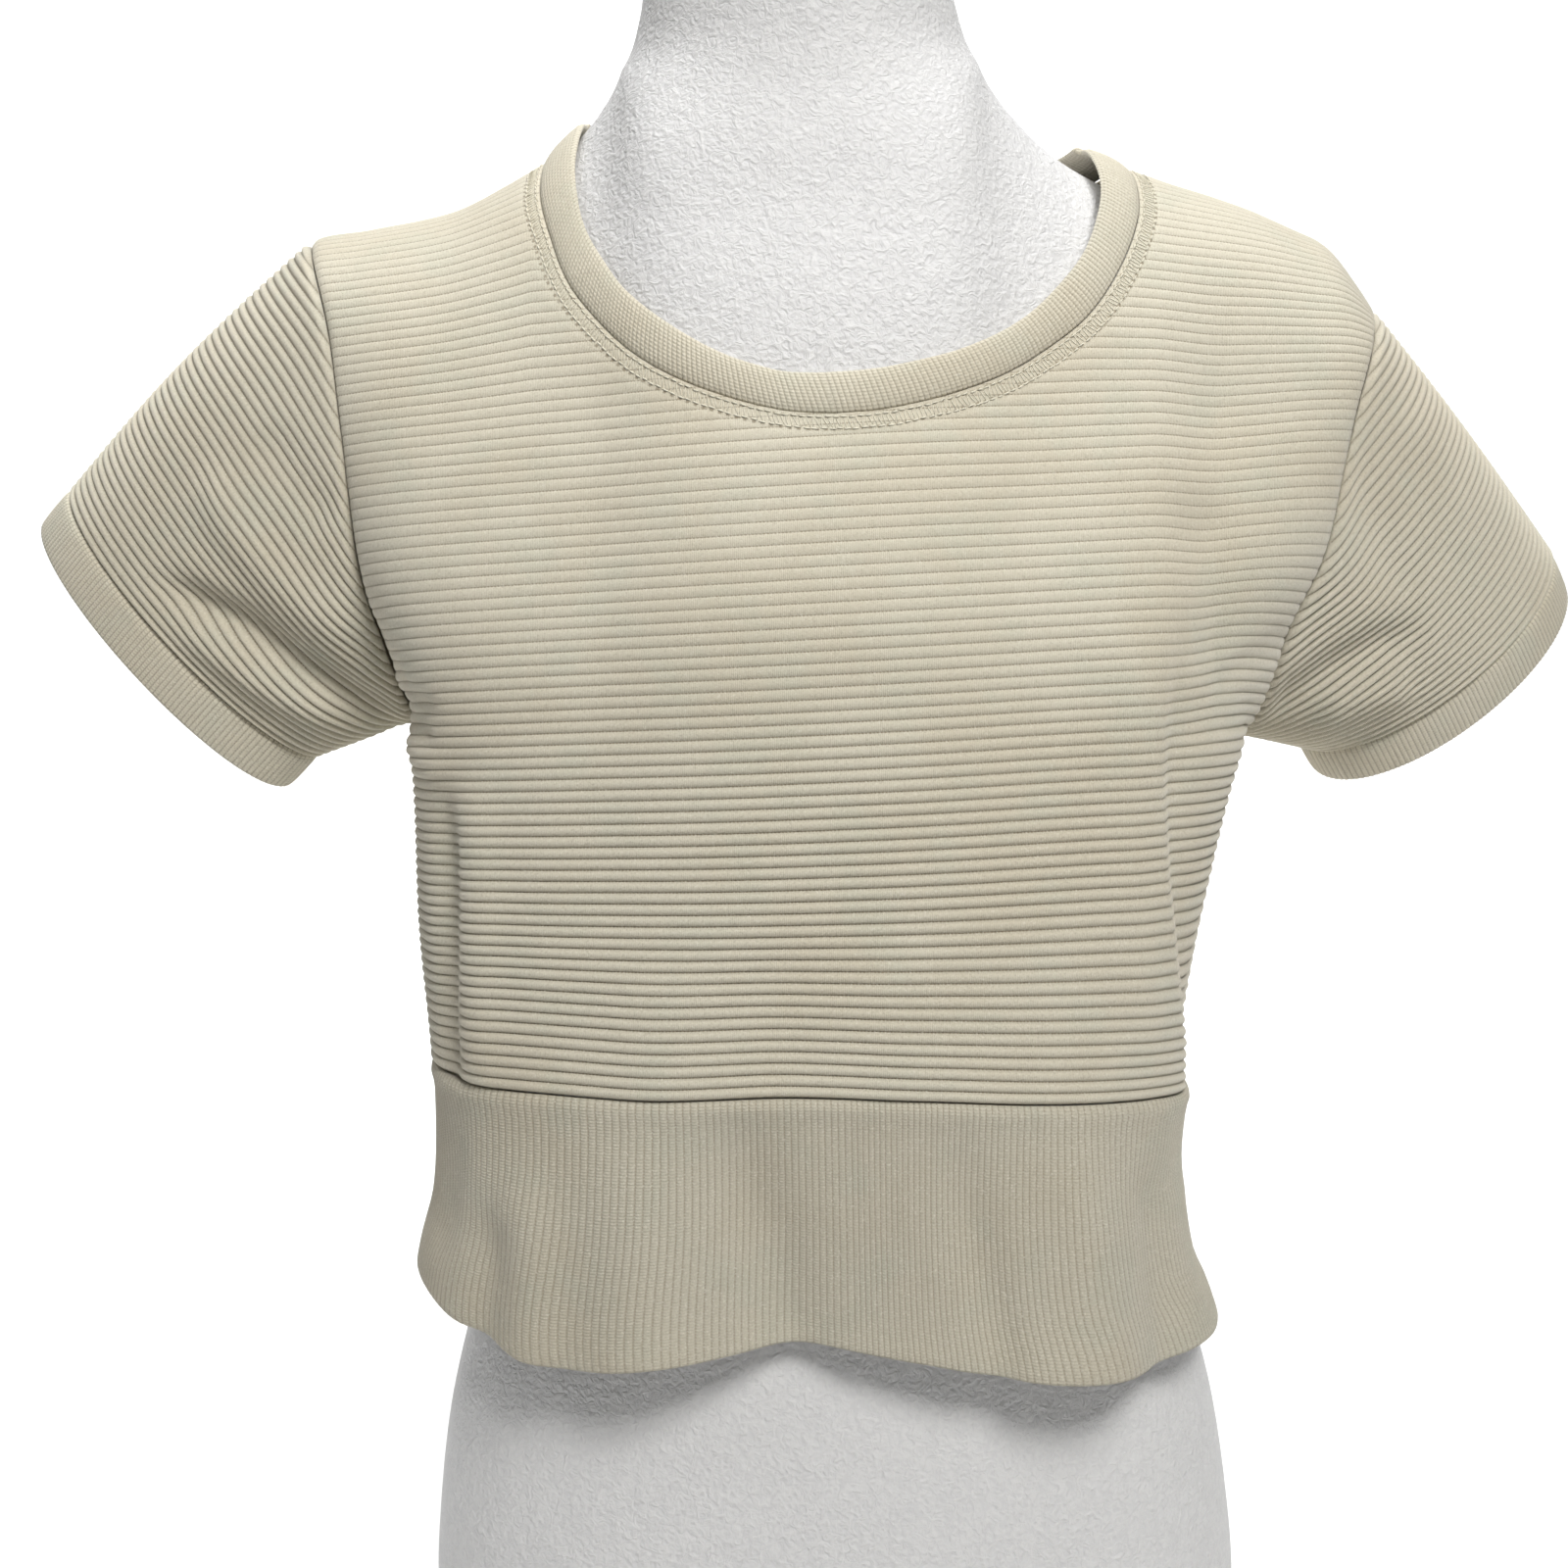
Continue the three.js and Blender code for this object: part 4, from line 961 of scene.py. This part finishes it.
# %% Waistband
BAND_FOLDS_FRONT = [
    (-3.5, 7, [(-131, 272), (-134, 250), (-138, 225), (-144, 200)]),
    (-2.4, 7, [(130, 266), (128, 240), (124, 215)]),
    (4.0, 10, [(-108, 250), (-104, 215), (-106, 178), (-108, 140)]),
    (-3.6, 8, [(-122, 235), (-121, 205), (-126, 178), (-130, 140)]),
    (-6.0, 13, [(-36, 290), (-28, 245), (-19, 205), (-12, 176), (-8, 130)]),
    (3.4, 16, [(-66, 275), (-68, 225), (-70, 180), (-70, 130)]),
    (-4.4, 9, [(42, 275), (48, 225), (57, 185), (62, 135)]),
    (5.0, 13, [(84, 280), (88, 225), (94, 180), (98, 130)]),
    (-4.2, 8, [(112, 250), (117, 205), (120, 165), (122, 125)]),
]
BAND_FOLDS_BACK = [
    (-2.6, 12, [(-60, 262), (-62, 225), (-70, 180)]),
    (2.4, 14, [(-20, 240), (-18, 205), (-14, 172)]),
    (-2.6, 12, [(46, 262), (46, 225), (42, 176)]),
    (2.4, 14, [(92, 240), (98, 205), (104, 168)]),
]


def waistband(name, back):
    ribs = 158
    share = np.concatenate([(np.arange(ribs)[:, None] + FINE_ROWS).ravel() / ribs, [1]])
    f = share * 2 - 1
    down = np.array([
        0, 0.006, 0.014, 0.026, 0.045, 0.075, 0.12, 0.17, 0.23, 0.3, 0.37, 0.44,
        0.51, 0.58, 0.65, 0.72, 0.79, 0.85, 0.9, 0.94, 0.965, 0.982, 0.993, 1,
    ])
    x = np.broadcast_to(f * 150, (len(down), len(f))).copy()
    z = np.full(x.shape, 220.0)
    v = down[:, None]
    for _ in range(5):
        top = curve(WAIST, "seam", x) - 2 * SEAM_GAP
        z = top - (top - curve(WAIST, "hemBack" if back else "hem", x)) * v
        edge = sided(BODY, z, f)
        x = MIDDLE + (np.sign(f) * edge - MIDDLE) * spread(np.abs(f), 270)
    base, n = on_body(x, z, back), out_of(x, z, back)
    for c in (0, -1):
        y = base[:, c, 1]
        base[:, c, 1] = np.where(np.abs(y) < SEAM_GAP / 2, (1 if back else -1) * SEAM_GAP / 2, y)
    run = run_along(base)
    sides = np.minimum(run, run[:, -1:] - run)
    fold = folded(np.stack([x, z], -1), BAND_FOLDS_BACK if back else BAND_FOLDS_FRONT)
    fold = fold * smooth(sides / 12) * smooth((v + 0.1) / 0.6)
    rolled = 0.9 * np.exp(-(((v - 0.045) / 0.03) ** 2))
    rolled = rolled - 0.8 * (1 - smooth(v / 0.02)) - 0.55 * (1 - smooth((1 - v) / 0.018))
    drawn = 0.8 * (1 - smooth(sides / 2))
    ribbed = FINE_RISE * (fine_rib(share * ribs) - 0.5) * (0.4 + 0.6 * smooth((1 - v) / 0.012))
    lift = BAND_WALL + fold + rolled - drawn + ribbed
    knit = np.stack([np.broadcast_to(share * ribs, x.shape), np.broadcast_to(v * 100, x.shape)], -1)
    shell = Shell()
    outer = shell.put(base + n * lift[..., None], knit)
    rows = np.array([0, 4, 8, 11, 14, 17, 20, len(down) - 1])
    inner = shell.put((base + n * deepened(fold)[..., None])[rows][:, ::LINING_STEP])
    shell.lined(outer, inner, rows, LINING_STEP)
    print(name, "faces:", len(shell.faces))
    return shell.finish(name)


band_front = waistband("front_waistband", False)
band_back = waistband("back_waistband", True)

# %% [markdown]
# ## Dress form
#
# The form is a light foam body with a finely crumpled skin. A turned profile would be too round for it,
# so rings of points go up from its flat base to the neck's cap, each one a rounded oblong as the cloth's are.


# %% Dress form
def on_form(x, z, back):
    deep = np.where(back, curve(FORM, "back", z), curve(FORM, "front", z))
    n = curve(FORM, "square", z)
    share = np.minimum(1, np.abs(x) / curve(FORM, "half", z))
    wall = deep * (1 - share ** n) ** (1 / n)
    over = np.sqrt(2 * FORM_ROUND * np.maximum(0, curve(FORM_RIDGE, "z", np.abs(x)) - z))
    return np.stack([x, np.where(back, 1, -1) * soft_least(wall, over), z], -1)


def dress_form(name):
    heights = np.concatenate([np.linspace(0, 540, 109), np.linspace(543, 676, 76)])
    tries = np.linspace(0, 1, 1201)[:, None]
    halves = curve(FORM, "half", heights)
    under = curve(FORM_RIDGE, "z", halves * (1 - 0.7 * tries)) >= heights
    halves = halves * (1 - 0.7 * tries[np.argmax(under, 0), 0])
    angle = np.arange(128) / 128 * 2 * math.pi
    x = halves[:, None] * np.sin(angle)
    z = np.broadcast_to(heights[:, None], x.shape)
    points = on_form(x, z, np.broadcast_to(np.cos(angle) < 0, x.shape))
    shell = Shell()
    ids = shell.put(points)
    shell.sheet(np.concatenate([ids, ids[:, :1]], 1))
    for row, height, order in ((ids[0], 0.0, 1), (ids[-1], 676.0, -1)):
        centre = int(shell.put(np.array([[0.0, 0.0, height]]))[0])
        ring = row.tolist()[::order]
        shell.faces += [[b, a, centre] for a, b in zip(ring, ring[1:] + ring[:1])]
    print(name, "faces:", len(shell.faces))
    return shell.finish(name)


form = dress_form("form_body")

# %% [markdown]
# ## Materials
#
# The yarn is matt, a pale stone beige that goes to sage in the shade. In a valley between two welts
# the purl side shows as a row of small stitches, darkened with painted shade. On a welt the stitches stand in
# fine columns.
# A picture of cloth could be laid on, but it would stretch. These patterns follow the knit itself,
# and one small class keeps their sums readable.


# %% Shader sums
class Sum:
    """A socket that can be added, subtracted and multiplied with Math nodes."""

    def __init__(self, tree, socket):
        self.tree, self.socket = tree, socket

    def node(self, kind, settings=None, **inputs):
        """Any other node. Its sockets go by name, or by number as i0, i1 and so on."""
        made = self.tree.nodes.new(kind)
        for key, value in (settings or {}).items():
            setattr(made, key, value)
        for key, value in inputs.items():
            numbered = key[0] == "i" and key[1:].isdigit()
            slot = made.inputs[int(key[1:]) if numbered else key.replace("_", " ")]
            if isinstance(value, Sum):
                self.tree.links.new(value.socket, slot)
            else:
                slot.default_value = value
        return made

    def math(self, operation, *values):
        inputs = {f"i{k}": value for k, value in enumerate(values)}
        made = self.node("ShaderNodeMath", {"operation": operation}, **inputs)
        return Sum(self.tree, made.outputs[0])

    def __add__(self, other):
        return self.math("ADD", self, other)

    def __radd__(self, other):
        return self.math("ADD", other, self)

    def __sub__(self, other):
        return self.math("SUBTRACT", self, other)

    def __rsub__(self, other):
        return self.math("SUBTRACT", other, self)

    def __mul__(self, other):
        return self.math("MULTIPLY", self, other)

    def __rmul__(self, other):
        return self.math("MULTIPLY", other, self)

    def sine(self):
        return self.math("SINE", self)

    def fraction(self):
        return self.math("FRACT", self)

    def size(self):
        return self.math("ABSOLUTE", self)

    def between(self, low, high):
        """From 0 at low to 1 at high, smooth."""
        kind = {"interpolation_type": "SMOOTHSTEP"}
        made = self.node("ShaderNodeMapRange", kind, i0=self, i1=low, i2=high, i3=0.0, i4=1.0)
        return Sum(self.tree, made.outputs[0])


def blank_material(name):
    material = bpy.data.materials.new(name)
    material.use_nodes = True
    tree = material.node_tree
    shader = tree.nodes["Principled BSDF"]
    return material, tree, shader


def plain(name, colour, roughness):
    material, _, shader = blank_material(name)
    shader.inputs["Base Color"].default_value = colour
    shader.inputs["Roughness"].default_value = roughness
    return material


def coloured(start, one, other, mask):
    """Mixes two colours by a mask."""
    made = start.node("ShaderNodeMix", {"data_type": "RGBA"}, i0=mask, i6=one, i7=other)
    return Sum(start.tree, made.outputs[2])


def noise(start, where, scale, detail=2.0):
    kind = {"noise_dimensions": "3D"}
    made = start.node("ShaderNodeTexNoise", kind, Vector=where, Scale=scale, Detail=detail)
    return Sum(start.tree, made.outputs["Fac"])


def bumped(start, height, strength, distance):
    made = start.node("ShaderNodeBump", {}, Strength=strength, Distance=distance, Height=height)
    return made.outputs["Normal"]


def mapped(start, name):
    """Both numbers of one of the maps that each shell kept."""
    place = Sum(start.tree, start.node("ShaderNodeUVMap", {"uv_map": name}).outputs[0])
    split = start.node("ShaderNodeSeparateXYZ", {}, i0=place)
    return Sum(start.tree, split.outputs[0]), Sum(start.tree, split.outputs[1])


# %% [markdown]
# ### Cloth
#
# The welted cloth and the fine rib are the same yarn. Places in the knit come from the map that each shell
# kept: for welts it is millimetres along and welts across, and for a band it is ribs along and millimetres
# across. The valleys of welts and ribs are darkened as painted shade. Where the cloth hangs slack,
# a broad band of painted shade also lies on both sides of each valley.

# %% Cloth
LIGHT = (0.66, 0.62, 0.51, 1)
WARM = (0.63, 0.58, 0.465, 1)
SAGE = (0.60, 0.59, 0.485, 1)
# The next two colours are painted shade: the first is laid as a broad band along slack valleys, the second as a
# dark line deep in each valley and in the needle holes of the cover stitch.
SHADY = (0.42, 0.385, 0.30, 1)
PAINTED_DEEP_SHADE = (0.27, 0.225, 0.155, 1)


# shade scales every colour of the yarn: above 1 the copy carries painted light, below 1 painted shade. slim
# spreads the broad painted valley shade of slack cloth over the whole piece.
def cloth(name, banded, shade=1.0, slim=0.0):
    material, tree, shader = blank_material(name)
    coordinates = tree.nodes.new("ShaderNodeTexCoord")
    start = Sum(tree, coordinates.outputs["Object"])
    along, across = mapped(start, "Knit")
    broad = noise(start, start, 14.0, 3.0)
    tint = noise(start, start, 45.0, 2.0)
    fuzz = noise(start, start, 2600.0, 2.0)
    light, warm, sage = ([channel * shade for channel in colour[:3]] + [1] for colour in (LIGHT, WARM, SAGE))
    body = coloured(start, light, warm, broad.between(0.40, 0.64))
    body = coloured(start, body, sage, tint.between(0.48, 0.7) * 0.5)
    if banded:
        # Painted shade: the valleys between the fine ribs are darkened toward the deep shade colour, in dots
        # along the stitches.
        valley = (along.fraction() - 0.5).size().between(0.26, 0.5)
        loops = (across * (2 * math.pi / 1.15)).sine() * 0.5 + 0.5
        painted_valley_shade = valley * (0.55 + 0.45 * loops)
        relief = loops * (1 - valley) * 0.8 + fuzz * 0.9
        colour = coloured(start, body, PAINTED_DEEP_SHADE, painted_valley_shade * 0.62)
        strength = 0.55
    else:
        off = (across.fraction() - 0.5).size()
        valley = off.between(0.36, 0.49)
        loops = (along * (2 * math.pi / 1.25)).sine() * 0.5 + 0.5
        columns = (along * (2 * math.pi / 0.62)).sine() * 0.5 + 0.5
        # Painted shade: on the lower body, where the cloth hangs slack, and all over where slim is 1, a broad
        # band on both sides of each valley is darkened toward SHADY.
        height = Sum(tree, start.node("ShaderNodeSeparateXYZ", {}, i0=start).outputs[2])
        loose = height.between(0.475, 0.325) * (1 - slim) + slim
        wide = off.between(0.2, 0.5) * loose
        # Painted shade: a thin dotted line deep in each valley between welts is darkened toward the deep shade
        # colour.
        painted_valley_shade = off.between(0.41, 0.475) * (0.45 + 0.55 * loops.between(0.2, 0.9))
        body = coloured(start, body, SHADY, wide * 0.6)
        relief = columns * (1 - valley) * 0.45 + loops * valley * 0.6 + fuzz * 0.9
        colour = coloured(start, body, PAINTED_DEEP_SHADE, painted_valley_shade * 0.8)
        # Painted shade: dark dots in the needle holes along the two rows of the cover stitch.
        out, run = mapped(start, "Seam")
        row = (out - 1.5).size().between(0.7, 0.3) + (out - 6.2).size().between(0.8, 0.35)
        hole = ((run * (1 / STITCH)).fraction() - 0.5).size().between(0.3, 0.12)
        colour = coloured(start, colour, PAINTED_DEEP_SHADE, row * hole * 0.75)
        strength = 0.5
    speck = noise(start, start, 1300.0, 2.0)
    colour = coloured(start, colour, (0.78, 0.75, 0.66, 1), speck.between(0.54, 0.74) * 0.45)
    colour = coloured(start, colour, (0.36, 0.32, 0.24, 1), speck.between(0.46, 0.28) * 0.3)
    tree.links.new(colour.socket, shader.inputs["Base Color"])
    tree.links.new(bumped(start, relief, strength, 0.0004), shader.inputs["Normal"])
    shader.inputs["Roughness"].default_value = 0.92
    shader.inputs["Specular IOR Level"].default_value = 0.2
    shader.inputs["Sheen Weight"].default_value = 0.25
    shader.inputs["Sheen Roughness"].default_value = 0.5
    return material


# The sleeves and cuffs are copies of the same yarn painted lighter, and the waistband a copy painted darker, to
# stand in for how the light falls on them. The sleeves also carry the broad painted valley shade all over.
welted_cloth = cloth("welted_cloth", False)
sleeve_cloth = cloth("sleeve_cloth", False, 1.04, 1.0)
fine_cloth = cloth("fine_rib_cloth", True)
band_cloth_painted_darker = cloth("rib_cloth_painted_darker", True, 0.84)
cuff_cloth_painted_lighter = cloth("cuff_rib_cloth_painted_lighter", True, 1.08)


# %% Skin of the form
def form_skin():
    material, tree, shader = blank_material("form_skin")
    coordinates = tree.nodes.new("ShaderNodeTexCoord")
    start = Sum(tree, coordinates.outputs["Object"])
    crumple = {"Vector": start, "Scale": 330.0, "Detail": 3.0, "Distortion": 1.4}
    wrinkle = start.node("ShaderNodeTexNoise", {"noise_dimensions": "3D"}, **crumple)
    wrinkles = Sum(tree, wrinkle.outputs["Fac"])
    round_cells = {"feature": "SMOOTH_F1"}
    pebble = start.node("ShaderNodeTexVoronoi", round_cells, Vector=start, Scale=420.0, Smoothness=0.5)
    pebbles = Sum(tree, pebble.outputs["Distance"])
    height = wrinkles * 1.6 + pebbles * 0.6 + noise(start, start, 60.0, 2.0) * 1.2
    colour = coloured(start, (0.69, 0.69, 0.70, 1), (0.73, 0.73, 0.735, 1), wrinkles.between(0.4, 0.6))
    tree.links.new(colour.socket, shader.inputs["Base Color"])
    tree.links.new(bumped(start, height, 0.6, 0.001), shader.inputs["Normal"])
    shader.inputs["Roughness"].default_value = 0.5
    shader.inputs["Specular IOR Level"].default_value = 0.4
    return material


# %% Each piece gets its material
skin = form_skin()
for piece in (front, back):
    piece.data.materials.append(welted_cloth)
for piece in (sleeve_left, sleeve_right):
    piece.data.materials.append(sleeve_cloth)
neck.data.materials.append(fine_cloth)
for piece in (cuff_left, cuff_right):
    piece.data.materials.append(cuff_cloth_painted_lighter)
for piece in (band_front, band_back):
    piece.data.materials.append(band_cloth_painted_darker)
form.data.materials.append(skin)
stitches.data.materials.append(plain("yarn", (0.70, 0.67, 0.56, 1), 0.85))
print("materials:", [m.name for m in bpy.data.materials][:8])

# %% [markdown]
# ## Riding
#
# Nothing here moves by itself, so each piece rides on the one body, and the part it stands for is hidden.
# The table also lists the size each sheet was cut to, as far as it shows: a doubled band counts once.
# The area leaves out neck and armholes. These sizes and slot names are listed but not used.

# %% Riding
STANDS_FOR = [
    (front, "front", "ribbed_cloth", (0.46, 0.36), 0.130),
    (back, "back", "ribbed_cloth", (0.46, 0.37), 0.135),
    (sleeve_left, "sleeve_left", "ribbed_cloth", (0.36, 0.138), 0.036),
    (sleeve_right, "sleeve_right", "ribbed_cloth", (0.36, 0.138), 0.033),
    (cuff_left, "cuff_left", "fine_rib", (0.29, 0.019), None),
    (cuff_right, "cuff_right", "fine_rib", (0.28, 0.019), None),
    (neck, "neckband", "fine_rib", (0.62, 0.014), None),
    (band_front, "waistband_front", "fine_rib", (0.40, 0.095), None),
    (band_back, "waistband_back", "fine_rib", (0.40, 0.095), None),
]
for piece, node, slot, flat, area in STANDS_FOR:
    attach(piece, "root")
    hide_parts(node)
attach(stitches, "root")
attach(form, "root")
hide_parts("dress_form")

# %% [markdown]
# ## Studio
#
# A pale floor runs up into a pale wall. The light is soft and comes mostly from the front and above,
# a little from the right, as in a room with a large window. A second lamp fills the left side,
# and a third one lights the wall alone, so that it stays white behind the cloth.


# %% Studio
def sweep():
    """Floor and wall in one curved sheet."""
    profile = [(-4.0, 0.0), (1.2, 0.0)]
    profile += [(1.2 + 0.8 * math.sin(a), 0.8 - 0.8 * math.cos(a)) for a in np.linspace(0.1, math.pi / 2, 14)]
    profile += [(2.0, 5.0)]
    points = [(x, y, z - 0.0005) for y, z in profile for x in (-6, 6)]
    faces = [(2 * k, 2 * k + 1, 2 * k + 3, 2 * k + 2) for k in range(len(profile) - 1)]
    mesh = bpy.data.meshes.new("floor")
    mesh.from_pydata(points, [], faces)
    mesh.polygons.foreach_set("use_smooth", [True] * len(faces))
    floor = bpy.data.objects.new("floor", mesh)
    bpy.context.scene.collection.objects.link(floor)
    floor.data.materials.append(plain("floor_paint", (0.93, 0.93, 0.93, 1), 0.9))


sweep()


def lamp(name, place, target, size, spread_angle, power, colour):
    light = bpy.data.lights.new(name, "AREA")
    light.shape, light.size, light.energy, light.color = "DISK", size, power, colour
    light.spread = math.radians(spread_angle)
    obj = bpy.data.objects.new(name, light)
    obj.location = place
    obj.rotation_euler = (Vector(target) - Vector(place)).to_track_quat("-Z", "Y").to_euler()
    bpy.context.scene.collection.objects.link(obj)


lamp("window", (0.5, -1.5, 1.75), (0, -0.05, 0.40), 0.8, 50, 3.35, (1.0, 0.985, 0.955))
lamp("ceiling", (-0.9, -0.5, 1.2), (-0.15, 0, 0.45), 0.5, 60, 0.2, (1.0, 0.99, 0.97))
lamp("wall_wash", (0, 0.7, 2.6), (0, 2.0, 0.4), 2.0, 120, 55, (1.0, 1.0, 1.0))
world = bpy.data.worlds.new("room")
bpy.context.scene.world = world
world.use_nodes = True
world.node_tree.nodes["Background"].inputs["Color"].default_value = (0.98, 0.985, 0.96, 1)
world.node_tree.nodes["Background"].inputs["Strength"].default_value = 0.12

# %% [markdown]
# ## Camera
#
# The camera stands about 0.8 m in front, at chest height, looks down a little and is rolled by a degree
# and a half. Its axes are written out rather than aimed at a target, because a target can't set the roll.

# %% Camera
pitch, roll = math.atan(160 / 2175), math.radians(1.4)
c, s = math.cos(pitch), math.sin(pitch)
right = Vector((math.cos(roll), 0, -math.sin(roll)))
up = Vector((c * math.sin(roll), s, c * math.cos(roll)))
ahead = Vector((-s * math.sin(roll), c, -s * math.cos(roll)))
camera = bpy.data.objects.new("camera", bpy.data.cameras.new("camera"))
camera.data.lens = 2175 / 1600 * 36
camera.data.sensor_width = 36
camera.data.clip_start = 0.05
turn = Matrix((right, up, -ahead)).transposed().to_4x4()
camera.matrix_world = Matrix.Translation((-0.01095, -0.830, 0.4304)) @ turn
bpy.context.scene.collection.objects.link(camera)
bpy.context.scene.camera = camera
bpy.context.scene.view_settings.view_transform = "Standard"
